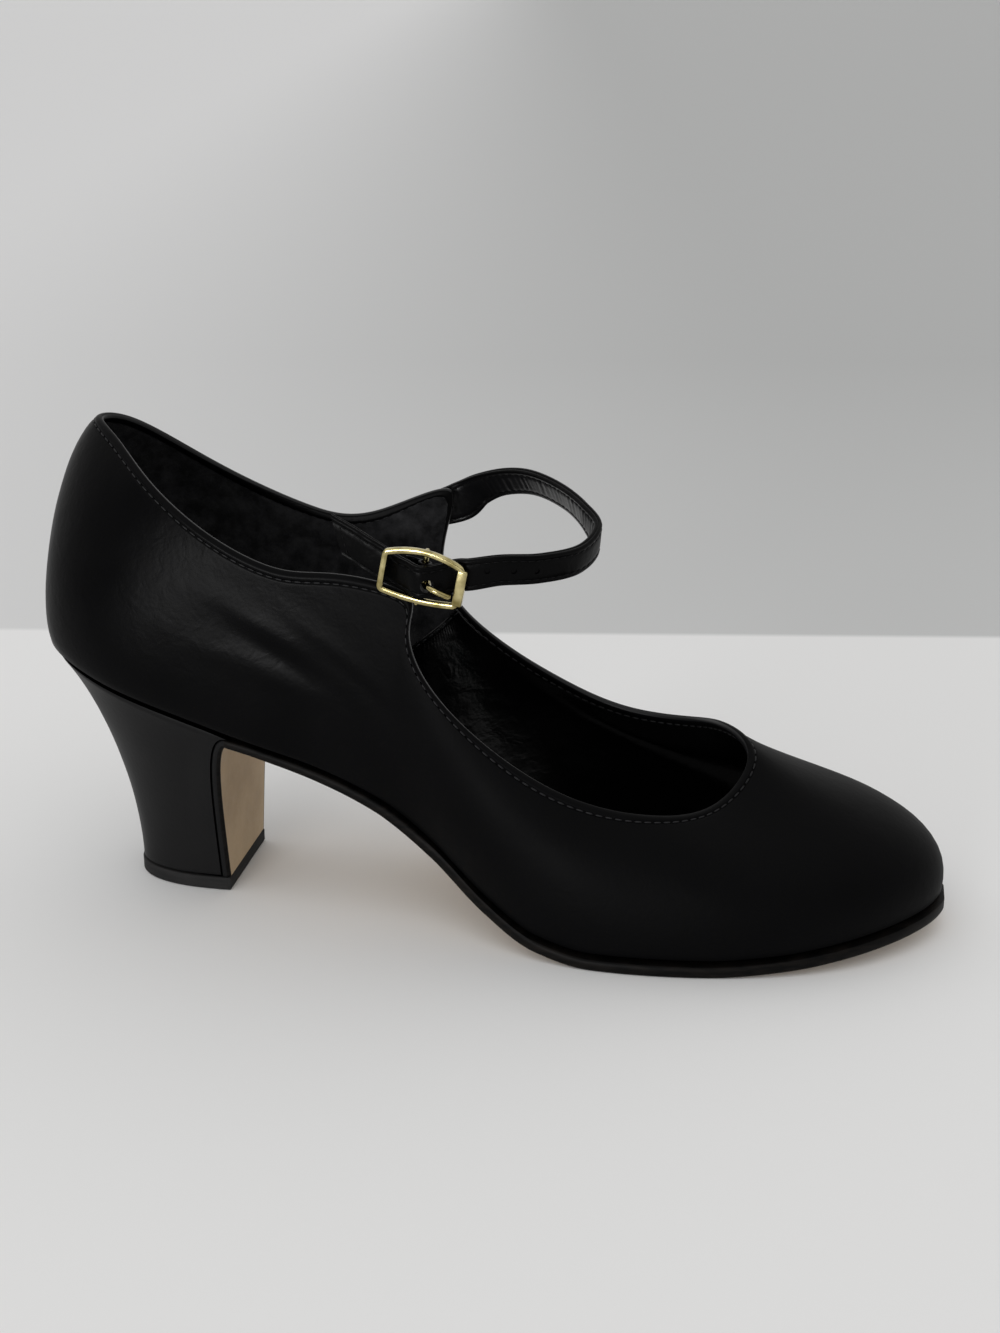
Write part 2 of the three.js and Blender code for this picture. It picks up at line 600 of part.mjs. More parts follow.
function frameOutline(inset) {
  const end = BUCKLE_LENGTH / 2 - inset;
  const corner = BUCKLE_ENDS / 2 - inset;
  const r = Math.max(BUCKLE_CORNER - inset, 0.5);
  const points = new THREE.Path();
  points.moveTo(-end, -corner + r);
  points.lineTo(-end, corner - r);
  points.quadraticCurveTo(-end, corner, -end + r, corner + r * 0.3);
  points.quadraticCurveTo(0, RAIL_BOW.top - inset, end - r, corner + r * 0.3);
  points.quadraticCurveTo(end, corner, end, corner - r);
  points.lineTo(end, -corner + r);
  points.quadraticCurveTo(end, -corner, end - r, -corner - r * 0.3);
  points.quadraticCurveTo(0, RAIL_BOW.foot + inset, -end + r, -corner - r * 0.3);
  points.quadraticCurveTo(-end, -corner, -end, -corner + r);
  return points.getPoints(6).slice(0, -1);
}

function bevelled(shape, depth) {
  const geometry = new THREE.ExtrudeGeometry(shape, {
    depth: depth - 2 * EDGE, bevelEnabled: true, bevelSize: EDGE, bevelThickness: EDGE,
    bevelOffset: -EDGE, bevelSegments: 1, curveSegments: 6,
  });
  return geometry.translate(0, 0, EDGE - depth / 2);
}

function rectangle(width, height) {
  const shape = new THREE.Shape();
  shape.moveTo(-width / 2, -height / 2).lineTo(width / 2, -height / 2);
  shape.lineTo(width / 2, height / 2).lineTo(-width / 2, height / 2);
  return shape;
}

// Frame with bowed rails, a heavier end bar, and a centre bar dropped behind its plane.
function buckleGeometry() {
  const outline = new THREE.Shape(frameOutline(0));
  outline.holes.push(new THREE.Path(frameOutline(RAIL).reverse()));
  const rails = bevelled(outline, FRAME_DEPTH);
  const endBar = bevelled(rectangle(END_BAR.width, END_BAR.height), END_BAR.depth);
  endBar.translate(BUCKLE_LENGTH / 2 + END_BAR.past - END_BAR.width / 2, 0, 0);
  const { radius, out, half } = CENTRE_BAR;
  const bar = new THREE.CylinderGeometry(radius, radius, 2 * half, 10).translate(0, 0, out);
  const posts = [1, -1].map((end) => new THREE.CylinderGeometry(radius, radius, -out + radius, 10)
    .rotateX(Math.PI / 2).translate(0, end * half, (out - radius) / 2));
  return fromSolid(join([rails, endBar, bar, ...posts]));
}

// A ring round the centre bar, from `low` to `high` along it.
function loopRing(inner, outer, low, high) {
  const profile = [[inner, low], [outer, low], [outer, high], [inner, high], [inner, low]];
  const lathe = new THREE.LatheGeometry(profile.map(([r, y]) => new THREE.Vector2(r, y)), 14);
  return lathe.translate(0, 0, CENTRE_BAR.out);
}

function prongGeometry() {
  const eye = loopRing(CENTRE_BAR.radius + GAP, EYE.radius, EYE.up - EYE.height / 2, EYE.up + EYE.height / 2);
  const round = new THREE.Shape().absarc(0, 0, PRONG_RADIUS, 0, 2 * Math.PI);
  const curve = new THREE.CatmullRomCurve3(PRONG.map((row) => new THREE.Vector3(row.along, row.up, row.out)));
  const arm = new THREE.ExtrudeGeometry(round, { steps: 10, extrudePath: curve, curveSegments: 4 });
  return fromSolid(join([eye, arm]));
}

// The leather tab that holds the buckle: two loops round the centre bar, either side of the prong's
// eye, and a strip that runs over the topline and is sewn inside the lateral wall.
function tabGeometry() {
  const inner = CENTRE_BAR.radius + GAP;
  const outer = inner + TAB.thickness;
  const eyeTop = EYE.up + EYE.height / 2 + GAP;
  const eyeFoot = EYE.up - EYE.height / 2 - GAP;
  const spans = [[eyeTop, TAB.width / 2], [-TAB.width / 2, eyeFoot]];
  const reach = 3.2;
  const stripOut = CENTRE_BAR.out - inner - TAB.thickness / 2;
  const pieces = [];
  for (const [low, high] of spans) {
    pieces.push(loopRing(inner, outer, low, high));
    pieces.push(new THREE.BoxGeometry(reach, high - low - TAB.pared, TAB.thickness - TAB.pared)
      .translate(-reach / 2, (low + high) / 2, stripOut));
  }
  pieces.forEach((piece) => piece.applyMatrix4(FRAME));
  const start = [
    { along: -reach + 0.6, up: 0, out: stripOut, lean: 0, width: TAB.width },
    { along: -reach - 0.6, up: 0, out: stripOut - 0.3, lean: 0, width: TAB.width },
  ].map((row) => ({ ...row, ...inShoe(row) }));
  const inside = TAB_INSIDE.map(({ place, height, inset }) => ({
    ...offWall(place, height, -(WALL + inset + TAB.thickness / 2)), lean: 0, width: TAB.width,
  }));
  pieces.push(band([...start, ...inside], TAB.thickness, 14));
  return fromSolid(join(pieces));
}

const shoe = new THREE.Group();
shoe.position.x = -FLOOR_CENTRE;
const fastening = new THREE.Group();
fastening.applyMatrix4(FRAME);
const BLACK = 0x17171a;
const BRASS = 0xcaa455;

shoe.add(
  mesh("upper", upperGeometry(), BLACK, 0.42),
  mesh("insole", insoleGeometry(), 0x1b1b1d, 0.35),
  mesh("outsole", outsoleGeometry(), 0xb98f62, 0.6),
  mesh("heel", heelGeometry(), BLACK, 0.4),
  mesh("top_piece", topPieceGeometry(), 0x202023, 0.75),
  mesh("strap", strapGeometry(), BLACK, 0.4),
  mesh("buckle_tab", tabGeometry(), BLACK, 0.45),
  fastening,
);
fastening.add(
  mesh("buckle", buckleGeometry(), BRASS, 0.25, 1),
  mesh("prong", prongGeometry(), BRASS, 0.25, 1),
);

export default shoe;
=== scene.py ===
"""The looks of a right character shoe: fine surfaces, stitching, linings and finishes over the CAD part.

Shapes are worked out in millimetres from the back of the heel seat, from the same sections as the CAD
part, and put into the row's frame in metres when their mesh is made.
"""
import math

import bmesh
import bpy
import numpy as np
from mathutils import Matrix, Vector, noise


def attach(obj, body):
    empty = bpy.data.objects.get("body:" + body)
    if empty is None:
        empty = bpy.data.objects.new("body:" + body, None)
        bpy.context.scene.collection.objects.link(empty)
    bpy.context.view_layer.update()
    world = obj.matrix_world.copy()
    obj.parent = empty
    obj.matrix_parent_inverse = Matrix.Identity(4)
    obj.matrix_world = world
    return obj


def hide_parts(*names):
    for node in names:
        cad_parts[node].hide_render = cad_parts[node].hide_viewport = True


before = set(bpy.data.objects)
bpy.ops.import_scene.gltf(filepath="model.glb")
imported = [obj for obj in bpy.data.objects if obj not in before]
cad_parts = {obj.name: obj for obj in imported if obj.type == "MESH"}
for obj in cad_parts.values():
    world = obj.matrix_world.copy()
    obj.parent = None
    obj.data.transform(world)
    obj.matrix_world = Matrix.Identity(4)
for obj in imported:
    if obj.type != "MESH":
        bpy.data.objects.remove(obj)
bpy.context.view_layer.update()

# Sizes in millimetres, as in the part
LENGTH = 236
BALL_WIDTH = 80
COLLAR_TOP = 126
WALL = 2
GAP = 0.3
SOLE_GAP = 0.4
SOLE = 3
FLAP = 2.3
SOLE_EDGE = 1.3
LASTING = 9
INSOLE = 1.6
INSOLE_INSET = 1.2
TOP_PIECE = 3.7
STRAP = 2
HEEL_FRONT = 43.3
HEEL_BACK = 17
HEEL_FOOT = 16.2
HEEL_LIP = 51
HEEL_ROUNDNESS = 0.8
FLOOR_CENTRE = 30
TOE = 12.4
TREAD_Z = SOLE + SOLE_GAP

# Feather line and topline: per cent of LENGTH, BALL_WIDTH and COLLAR_TOP
FOOT_X = [-1.4, 0.3, 7.8, 18.2, 28.4, 34.7, 39.6, 45.6, 55.3, 67.4, 80.2, 90.6, 97.9, 98.6, 92.4, 83.5, 74.2,
          59.2, 44.9, 38.1, 32.8, 24.6, 16.1, 7.6, 1.6]
FOOT_Y = [-0.5, -19.2, -31.4, -33.6, -33.2, -33.0, -32.8, -35.0, -48.0, -52.7, -47.6, -34.6, -12.6, 10.4,
          32.8, 45.1, 47.5, 38.8, 30.1, 29.9, 30.1, 31.3, 31.9, 28.8, 16.1]
TOP_X = [4.9, 8.0, 12.7, 19.7, 27.5, 34.2, 41.8, 42.1, 45.9, 57.4, 68.3, 74.7, 77.4, 74.3, 70.1, 62.3, 53.9,
         45.9, 40.7, 41.8, 33.1, 25.0, 16.4, 9.4, 6.0]
TOP_Y = [0.3, -10.7, -23.3, -30.9, -33.6, -34.9, -37.2, -38.6, -40.7, -41.6, -35.0, -20.0, -3.5, 12.6, 27.6,
         36.3, 38.8, 38.3, 36.9, 35.0, 33.9, 32.6, 30.1, 22.5, 11.5]
TOP_Z = [100.0, 97.3, 90.9, 82.0, 76.0, 75.8, 73.1, 65.4, 51.4, 35.7, 29.8, 29.8, 36.4, 38.4, 35.6, 34.9,
         40.5, 49.9, 65.2, 81.9, 76.8, 77.7, 84.9, 93.7, 98.9]
AROUND = len(FOOT_X)

# place, rise, swell, fall, spread, back
BULGE = np.array([
    (0, 15.0, 4.5, 5.5, 13.2, 0),
    (2.5, 15.7, 4.9, 14.1, 3.2, 0),
    (4, 15.6, 3.9, 15.6, 1.6, 0),
    (5, 15.4, 4.5, 16.9, 1.5, -0.4),
    (6, 14.3, 5.6, 17.0, 1.1, 9.2),
    (7, 13.7, 6.2, 15.4, 1.0, 3.7),
    (8, 14.6, 4.4, 10.8, 1.9, -2.6),
    (9, 13.4, 4.6, 10.7, 6.5, 2.6),
    (11, 17.6, 4.7, 8.3, 20.3, 0),
    (12.5, 25.0, 4.8, 15.9, 20.8, 0),
    (14, 23.3, 7.1, 16.8, 16.2, 0),
    (16, 16.0, 5.6, 14.6, 5.1, -0.5),
    (17, 16.0, 6.0, 13.1, 1.5, -1.3),
    (18, 14.5, 6.4, 14.9, 0.8, 4.0),
    (19, 14.8, 5.5, 16.7, 1.2, 16.0),
    (20, 15.7, 4.6, 15.4, 1.9, -1.4),
    (21, 16.3, 3.8, 15.2, 2.8, 0),
    (22.5, 17.0, 4.2, 11.8, 8.9, 0),
])
# x, z
LAST_BOTTOM = np.array([
    (-8, 68.9), (0, 66), (20, 59.1), (38, 53.2), (55, 47.6), (74, 41.6), (90, 34.5), (105, 23.4),
    (120, 12.4), (134, 5.6), (148, TREAD_Z), (176, TREAD_Z), (195, 4.6), (215, 6.9), (236, 9.0),
])
# place, shoulder x, shoulder out, shoulder z, foot out, foot rise
HEEL_SIDE = np.array([
    (0, 10, 0, -9, 0, 25),
    (0.5, 5, -3.6, -8, 0.5, 26),
    (0.85, -1, -3, -5, 3.5, 28),
    (1, -8, -0.4, 2.7, 5.8, 30),
])
# x, y, z, lean, width
STRAP_LOOP = [
    (100.5, 30.8, 99.0, 6, 10.8),
    (106, 29.6, 103.0, 16, 8.8),
    (112.5, 27.2, 106.0, 25, 7.9),
    (121, 22.3, 107.7, 28, 7.9),
    (131, 13.2, 106.8, 24, 8.0),
    (138.3, 3.2, 104.5, 12, 8.1),
    (142.5, -6, 101.7, -5, 7.9),
    (139.6, -15.6, 99.2, -12, 7.8),
    (131, -25.0, 99.1, -12, 7.8),
    (122, -30.2, 99.7, -8, 7.9),
]
# along, up, out, lean, width in the buckle's frame
STRAP_IN_BUCKLE = [
    (11.2, 3.1, -2.6, -3, 8.0),
    (8.4, 2.2, -2.75, -3, 8.1),
    (4, 0.4, -0.9, -4, 8.1),
    (0, -0.5, 1.15, -4, 8.1),
    (-4, -0.4, -0.8, -3, 8.0),
    (-8.7, -0.15, -2.85, -2, 8.3),
]
STRAP_TAIL = [
    (89.4, -31.3, 102.5, 0, 8.4),
    (86.0, -30.6, 104.3, 0, 8.4),
    (82.2, -30.0, 106.1, 0, 8.4),
]
TAIL_SLANT = {"share": 0.045, "rate": 0.88}
STRAP_LAP = [19.75, 19.38]
LAP_HEIGHT = 0.865
LAP_WIDTH = 9.2

BUCKLE_CENTRE = np.array([103.6, -34.6, 97.9])
BUCKLE_TILT = 11
BUCKLE_LENGTH = 20.8
RAIL_BOW = {"top": 9.1, "foot": -7.2}
BUCKLE_ENDS = 10.9
BUCKLE_CORNER = 1.6
RAIL = 1.6
FRAME_DEPTH = 1.8
END_BAR = {"width": 2.5, "height": 9.2, "depth": 2.2, "past": 0.6}
CENTRE_BAR = {"radius": 0.7, "out": -2.4, "half": 6.4}
HOLE = {"along": 2.1, "up": -1.1, "radius": 1.6}
EYE = {"up": -0.5, "height": 2.2, "radius": 1.75}
PRONG_RADIUS = 0.75
PRONG = [(1.1, -0.6, -1.7), (1.9, -1.0, -0.2), (2.4, -1.15, 1.5), (4.2, -1.4, 2.4), (7.7, -2.15, 2.25)]
TAB = {"thickness": 0.8, "width": 7.2, "pared": 0.16}
TAB_INSIDE = [(5.95, 1.05, 1.2), (5.75, 0.93, 1.0), (5.6, 0.82, 0.9), (5.5, 0.72, 1.1)]

UP = np.array([0.0, 0.0, 1.0])
NUDGE = 0.01


# Curves through tables

def hermite(s, start, end, leave, arrive):
    s2, s3 = s * s, s * s * s
    ends = start * (2 * s3 - 3 * s2 + 1) + end * (3 * s2 - 2 * s3)
    return ends + leave * (s3 - 2 * s2 + s) + arrive * (s3 - s2)


def ring(places, values):
    """Smooth closed curve through values at places on the ring of sections."""
    places, values = np.array(places, float), np.array(values, float)
    n = len(places)
    step = np.append(places[1:], places[0] + AROUND) - places
    slope = np.zeros(n)
    for _ in range(60):
        for i in range(n):
            ahead = (i + 1) % n
            before, after = step[i - 1], step[i]
            pull = 3 * (after * (values[i] - values[i - 1]) / before
                        + before * (values[ahead] - values[i]) / after)
            slope[i] = (pull - after * slope[i - 1] - before * slope[ahead]) / (2 * (before + after))

    def at(t):
        u = (np.asarray(t, float) - places[0]) % AROUND + places[0]
        i = np.searchsorted(places, u, side="right") - 1
        j = (i + 1) % n
        run = step[i]
        return hermite((u - places[i]) / run, values[i], values[j], slope[i] * run, slope[j] * run)
    return at


def course(places, values):
    """Open curve through values at rising places, flat wherever two neighbours are equal."""
    places, values = np.array(places, float), np.array(values, float)
    rate = np.diff(values) / np.diff(places)
    slope = np.empty(len(values))
    slope[0], slope[-1] = rate[0], rate[-1]
    for i in range(1, len(rate)):
        same = rate[i - 1] * rate[i] > 0
        slope[i] = 2 * rate[i - 1] * rate[i] / (rate[i - 1] + rate[i]) if same else 0

    def at(x):
        x = np.asarray(x, float)
        i = np.clip(np.searchsorted(places, x, side="left") - 1, 0, len(rate) - 1)
        step = places[i + 1] - places[i]
        return hermite((x - places[i]) / step, values[i], values[i + 1], slope[i] * step, slope[i + 1] * step)
    return at


def spline(points):
    """Centripetal curve through points: a function of shares 0 to 1, each point an equal share apart."""
    points = np.array(points, float)
    ends = np.vstack([2 * points[0] - points[1], points, 2 * points[-1] - points[-2]])

    def at(share):
        place = np.asarray(share, float) * (len(points) - 1)
        i = np.clip(np.floor(place).astype(int), 0, len(points) - 2)
        s = (place - i)[..., None]
        p0, p1, p2, p3 = (ends[i + k] for k in range(4))
        d0, d1, d2 = (np.maximum(np.linalg.norm(b - a, axis=-1, keepdims=True), 1e-6) ** 0.5
                      for a, b in ((p0, p1), (p1, p2), (p2, p3)))
        leave = ((p1 - p0) / d0 - (p2 - p0) / (d0 + d1) + (p2 - p1) / d1) * d1
        arrive = ((p2 - p1) / d1 - (p3 - p1) / (d1 + d2) + (p3 - p2) / d2) * d1
        return hermite(s, p1, p2, leave, arrive)
    return at


def stack(*values):
    """Puts coordinates together into points, each broadcast to the others."""
    return np.stack(np.broadcast_arrays(*values), -1)


def unit(v):
    return v / np.linalg.norm(v, axis=-1, keepdims=True)


def run_along(points, axis=0):
    """Length of paths up to each of their points."""
    steps = np.linalg.norm(np.diff(points, axis=axis), axis=-1)
    return np.concatenate([np.zeros_like(np.take(steps, [0], axis)), np.cumsum(steps, axis)], axis)


def smoothstep(x, low, high):
    s = np.clip((x - low) / (high - low), 0, 1)
    return s * s * (3 - 2 * s)


def rounding_off(distance, radius):
    """How far a face is drawn in, at distances from an edge that is rounded to a radius."""
    near = np.clip(distance, 0, radius)
    return radius - np.sqrt(radius ** 2 - (radius - near) ** 2)


sections = np.arange(AROUND)
foot_x = ring(sections, np.array(FOOT_X) * LENGTH / 100)
foot_y = ring(sections, np.array(FOOT_Y) * BALL_WIDTH / 100)
top_x = ring(sections, np.array(TOP_X) * LENGTH / 100)
top_y = ring(sections, np.array(TOP_Y) * BALL_WIDTH / 100)
top_z = ring(sections, np.array(TOP_Z) * COLLAR_TOP / 100)
rise, swell, fall, spread, back = (ring(BULGE[:, 0], BULGE[:, k]) for k in range(1, 6))
bottom = course(LAST_BOTTOM[:, 0], LAST_BOTTOM[:, 1])


def bottom_steep(x):
    return np.hypot(1, (bottom(x + NUDGE) - bottom(x - NUDGE)) / (2 * NUDGE))


def outward(t):
    """Level direction out of the feather line."""
    dx = foot_x(t + NUDGE) - foot_x(t - NUDGE)
    dy = foot_y(t + NUDGE) - foot_y(t - NUDGE)
    return unit(stack(dy, -dx, 0))


def bezier(a, b, c, d, s):
    r = 1 - s
    return a * r ** 3 + b * (3 * r * r * s) + c * (3 * r * s * s) + d * s ** 3


def wall(t, height):
    """Outer face of the upper: t round the ring, height 0 at the feather and 1 at the topline."""
    t, height = np.broadcast_arrays(np.asarray(t, float), np.asarray(height, float))
    out = outward(t)
    foot = stack(foot_x(t), foot_y(t), bottom(foot_x(t)))
    top = stack(top_x(t), top_y(t), top_z(t))
    low = foot + UP * rise(t)[..., None] + out * swell(t)[..., None]
    high = top - UP * fall(t)[..., None] + out * spread(t)[..., None]
    high[..., 0] -= back(t)
    return bezier(foot, low, high, top, height[..., None])


def wall_normal(t, height):
    along = wall(t + NUDGE, height) - wall(t - NUDGE, height)
    rising = wall(t, height + NUDGE) - wall(t, height - NUDGE)
    return unit(np.cross(along, rising))


def off_wall(t, height, distance):
    return wall(t, height) + wall_normal(t, height) * np.asarray(distance)[..., None]


# Mesh making

FINE_STITCH = {"pitch": 2.2, "length": 1.5, "radius": 0.2}
END_STITCH = {"pitch": 1.6, "length": 1.2, "radius": 0.2}


def set_up(thing, settings):
    for setting, value in settings.items():
        setattr(thing, setting, value)
    return thing


def in_row(points):
    """Millimetres from the heel's back, in the row's metres."""
    return (np.asarray(points, float) - [FLOOR_CENTRE, 0, 0]) / 1000


def make(name, points, faces, materials, face_slots=None):
    """A smooth-shaded piece riding on the shoe, from points in millimetres."""
    mesh = bpy.data.meshes.new(name)
    mesh.from_pydata(in_row(points).reshape(-1, 3).tolist(), [], [list(map(int, f)) for f in faces])
    for material in materials:
        mesh.materials.append(material)
    if face_slots is not None:
        mesh.polygons.foreach_set("material_index", np.asarray(face_slots, np.int32))
    mesh.polygons.foreach_set("use_smooth", np.ones(len(mesh.polygons), bool))
    mesh.update()
    piece = bpy.data.objects.new(name, mesh)
    bpy.context.scene.collection.objects.link(piece)
    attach(piece, "root")
    return piece


def grid_quads(rows, columns, wrap_rows, wrap_columns):
    """Quads of a grid of points, as (row, column, four corner numbers)."""
    r = np.arange(rows if wrap_rows else rows - 1)
    c = np.arange(columns if wrap_columns else columns - 1)
    r, c = (a.ravel() for a in np.meshgrid(r, c, indexing="ij"))
    r2, c2 = (r + 1) % rows, (c + 1) % columns
    return r, c, np.stack([r * columns + c, r * columns + c2, r2 * columns + c2, r2 * columns + c], -1)


def volume(points, quads):
    a, b, c, d = (points[quads[:, k]] for k in range(4))
    return np.sum(a * np.cross(b, c)) + np.sum(a * np.cross(c, d))


def skin(name, loops, materials, closed=False, slot_of=None):
    """A closed surface over loops of equal length, its open ends capped by strips across."""
    loops = np.asarray(loops, float)
    rows, columns = loops.shape[:2]
    points = loops.reshape(-1, 3)
    row, column, quads = grid_quads(rows, columns, closed, True)
    slots = slot_of(row, column, points[quads].mean(1)) if slot_of else np.zeros(len(quads), int)
    if not closed:
        near = np.arange(columns // 2 - 1)
        far = columns - 1 - near
        end = (rows - 1) * columns
        first = np.stack([near, far, far - 1, near + 1], -1)
        last = np.stack([end + near, end + near + 1, end + far - 1, end + far], -1)
        quads = np.vstack([quads, first, last])
        slots = np.append(slots, np.full(len(near), slots[0]))
        slots = np.append(slots, np.full(len(near), slots[len(row) - 1]))
    if volume(points, quads) < 0:
        quads = quads[:, ::-1]
    return make(name, points, quads, materials, slots)


def keep_sharp(piece, degrees):
    """Shades edges sharper than an angle as edges."""
    piece.data.set_sharp_from_angle(angle=math.radians(degrees))


def turn_out(piece):
    """Makes all faces of a closed piece point out."""
    body = bmesh.new()
    body.from_mesh(piece.data)
    bmesh.ops.recalc_face_normals(body, faces=body.faces)
    body.to_mesh(piece.data)
    body.free()


def reshape(piece, kind, **settings):
    """Applies a modifier with its settings to a piece."""
    modifier = set_up(piece.modifiers.new("change", kind), settings)
    with bpy.context.temp_override(object=piece, active_object=piece):
        bpy.ops.object.modifier_apply(modifier=modifier.name)


def sweep(middle, across, up, section):
    """Loops of a section of (across, up) points at each point of a path."""
    return middle[:, None] + across[:, None] * section[None, :, :1] + up[:, None] * section[None, :, 1:]


def capsule(length, radius, sides=6):
    """Points and faces of a small rounded thread lying along X."""
    rings = [(-0.5, 0.35), (-0.38, 0.85), (0, 1), (0.38, 0.85), (0.5, 0.35)]
    turn = np.arange(sides) * 2 * math.pi / sides
    points = [(x * length, r * radius * math.cos(a), r * radius * math.sin(a))
              for x, r in rings for a in turn]
    faces = grid_quads(len(rings), sides, False, True)[2].tolist()
    faces += [list(range(sides))[::-1], list(range(len(points) - sides, len(points)))]
    return np.array(points), faces


def stitch_row(name, points, normals, material, pitch=2.5, length=1.75, radius=0.24, lift=0.02, closed=False):
    """Threads laid at even steps along a path on a surface."""
    if closed:
        points, normals = np.vstack([points, points[:1]]), np.vstack([normals, normals[:1]])
    run = run_along(points)
    count = int(run[-1] / pitch)
    here = (np.arange(count) + 0.5) * run[-1] / count

    def at(s, values):
        return np.stack([np.interp(s, run, values[:, k]) for k in range(3)], -1)

    ahead = unit(at(np.minimum(here + 0.4, run[-1]), points) - at(np.maximum(here - 0.4, 0), points))
    out = unit(at(here, normals))
    side = unit(np.cross(out, ahead))
    out = np.cross(ahead, side)
    shape, faces = capsule(length, radius)
    all_points = (at(here, points) + out * lift)[:, None] + shape[None, :, :1] * ahead[:, None] \
        + shape[None, :, 1:2] * side[:, None] + shape[None, :, 2:] * out[:, None]
    all_faces = [[v + i * len(shape) for v in f] for i in range(count) for f in faces]
    return make(name, all_points.reshape(-1, 3), all_faces, [material])


def merge(name, pieces):
    """Joins pieces into the first one, under one name."""
    base = pieces[0]
    with bpy.context.temp_override(active_object=base, selected_editable_objects=pieces, object=base):
        bpy.ops.object.join()
    base.name = name
    return base


# Materials

def new_material(name, colour, roughness, **sockets):
    material = bpy.data.materials.new(name)
    material.use_nodes = True
    shader = material.node_tree.nodes["Principled BSDF"]
    shader.inputs["Base Color"].default_value = (*colour, 1)
    shader.inputs["Roughness"].default_value = roughness
    for socket, value in sockets.items():
        shader.inputs[socket.replace("_", " ")].default_value = value
    return material


def add_node(tree, kind, **values):
    """A shader node with its settings and its inputs, each input a number or another node's output."""
    node = tree.nodes.new("ShaderNode" + kind)
    for key, value in values.items():
        socket = node.inputs.get(key.replace("_", " "))
        if socket is None:
            setattr(node, key, value)
        elif isinstance(value, bpy.types.NodeSocket):
            tree.links.new(value, socket)
        else:
            socket.default_value = value
    return node


def feed(tree, socket, source):
    tree.links.new(source, tree.nodes["Principled BSDF"].inputs[socket])


def object_place(tree):
    """Coordinates in object space, from one node in each material."""
    node = tree.nodes.get("Place") or add_node(tree, "TexCoord", name="Place")
    return node.outputs["Object"]


def axes(tree):
    return add_node(tree, "SeparateXYZ", Vector=object_place(tree)).outputs


def ramp(tree, source, low, high, start=0.3, end=0.7, **settings):
    """Maps a texture's value to a range of numbers."""
    node = add_node(tree, "MapRange", Value=source, From_Min=start, From_Max=end, To_Min=low, To_Max=high,
                    **settings)
    return node.outputs["Result"]


def mix(tree, source, first, second):
    """Blends two colours, each given as numbers or as another node's output."""
    node = add_node(tree, "Mix", data_type="RGBA", Factor=source)
    for socket, colour in zip(node.inputs[6:8], (first, second)):
        if isinstance(colour, tuple):
            socket.default_value = (*colour, 1)
        else:
            tree.links.new(colour, socket)
    return node.outputs[2]


def surface(name, colour, roughness, textures, relief, blend=None, polish=None, **sockets):
    """A finish from procedural textures, each a kind, scale, settings and the axes it is drawn out along.
    Relief stacks layers of a texture, a depth in millimetres and a strength. Blend gives a texture, its
    range and two colours, polish a texture and two roughnesses."""
    material = new_material(name, colour, roughness, **sockets)
    tree = material.node_tree
    values = {}
    for key, (kind, scale, settings, drawn) in textures.items():
        place = object_place(tree)
        if drawn:
            place = add_node(tree, "Mapping", Vector=place, Scale=drawn).outputs["Vector"]
        node = add_node(tree, "Tex" + kind, Scale=scale, Vector=place, **settings)
        values[key] = node.outputs["Distance" if kind == "Voronoi" else "Fac"]
    if blend:
        key, start, end, first, second = blend
        feed(tree, "Base Color", mix(tree, ramp(tree, values[key], 0, 1, start, end), first, second))
    if polish:
        feed(tree, "Roughness", ramp(tree, values[polish[0]], *polish[1:]))
    below = {}
    for key, depth, strength in relief:
        node = add_node(tree, "Bump", Height=values[key], Distance=depth / 1000, Strength=strength, **below)
        below = {"Normal": node.outputs["Normal"]}
    feed(tree, "Normal", below["Normal"])
    return material


def leather(name, colour, worn, roughness, grain=0.05, pebble=0.05, shine=0.12, crease=0.0):
    """Smooth finished leather: fine grain, soft pebbling, creases, slow changes of tone and polish."""
    textures = {"fine": ("Noise", 1500, {"Detail": 3.0}, None),
                "cells": ("Voronoi", 900, {"feature": "SMOOTH_F1"}, None),
                "slow": ("Noise", 38, {"Detail": 2.0}, None)}
    relief = [("cells", pebble, 0.35), ("fine", grain, 0.3)]
    if crease:
        textures["folds"] = ("Noise", 210, {"Detail": 3.0, "Distortion": 0.6}, None)
        relief.append(("folds", crease, 0.5))
    return surface(name, colour, roughness, textures, relief, ("slow", 0.3, 0.7, colour, worn),
                   ("slow", roughness - 0.04, roughness + 0.05), Specular_IOR_Level=shine)


def thread(name, colour, shine):
    return surface(name, colour, 0.5, {"twist": ("Wave", 900, {}, None)}, [("twist", 0.06, 0.5)],
                   Specular_IOR_Level=shine)


def duller_ahead(material, start, end, quarter, vamp):
    """Makes roughness grow along the shoe, from the polished quarter to the vamp."""
    tree = material.node_tree
    roughness = tree.nodes["Principled BSDF"].inputs["Roughness"].links[0].from_socket
    added = add_node(tree, "Math")
    tree.links.new(roughness, added.inputs[0])
    tree.links.new(ramp(tree, axes(tree)["X"], quarter, vamp, start, end), added.inputs[1])
    feed(tree, "Roughness", added.outputs["Value"])


BLACK_LEATHER = leather("black_leather", (0.0007, 0.0007, 0.0009), (0.0013, 0.0013, 0.0015), 0.36,
                        shine=0.048, crease=0.22)
duller_ahead(BLACK_LEATHER, 0.04, 0.08, -0.02, 0.19)
HEEL_LEATHER = leather("heel_leather", (0.0036, 0.0036, 0.0039), (0.0053, 0.0052, 0.0055), 0.44)
STRAP_LEATHER = leather("strap_leather", (0.0006, 0.0006, 0.0007), (0.0013, 0.0013, 0.0014), 0.3,
                        0.08, 0.1, 0.05, 0.25)
STRAP_LINING = leather("strap_lining", (0.002, 0.002, 0.0023), (0.004, 0.004, 0.0045), 0.3, 0.08, 0.12, 0.25)
VAMP_LINING = leather("vamp_lining", (0.0004, 0.0004, 0.0005), (0.0008, 0.0009, 0.001), 0.22,
                      shine=0.45, crease=0.42)
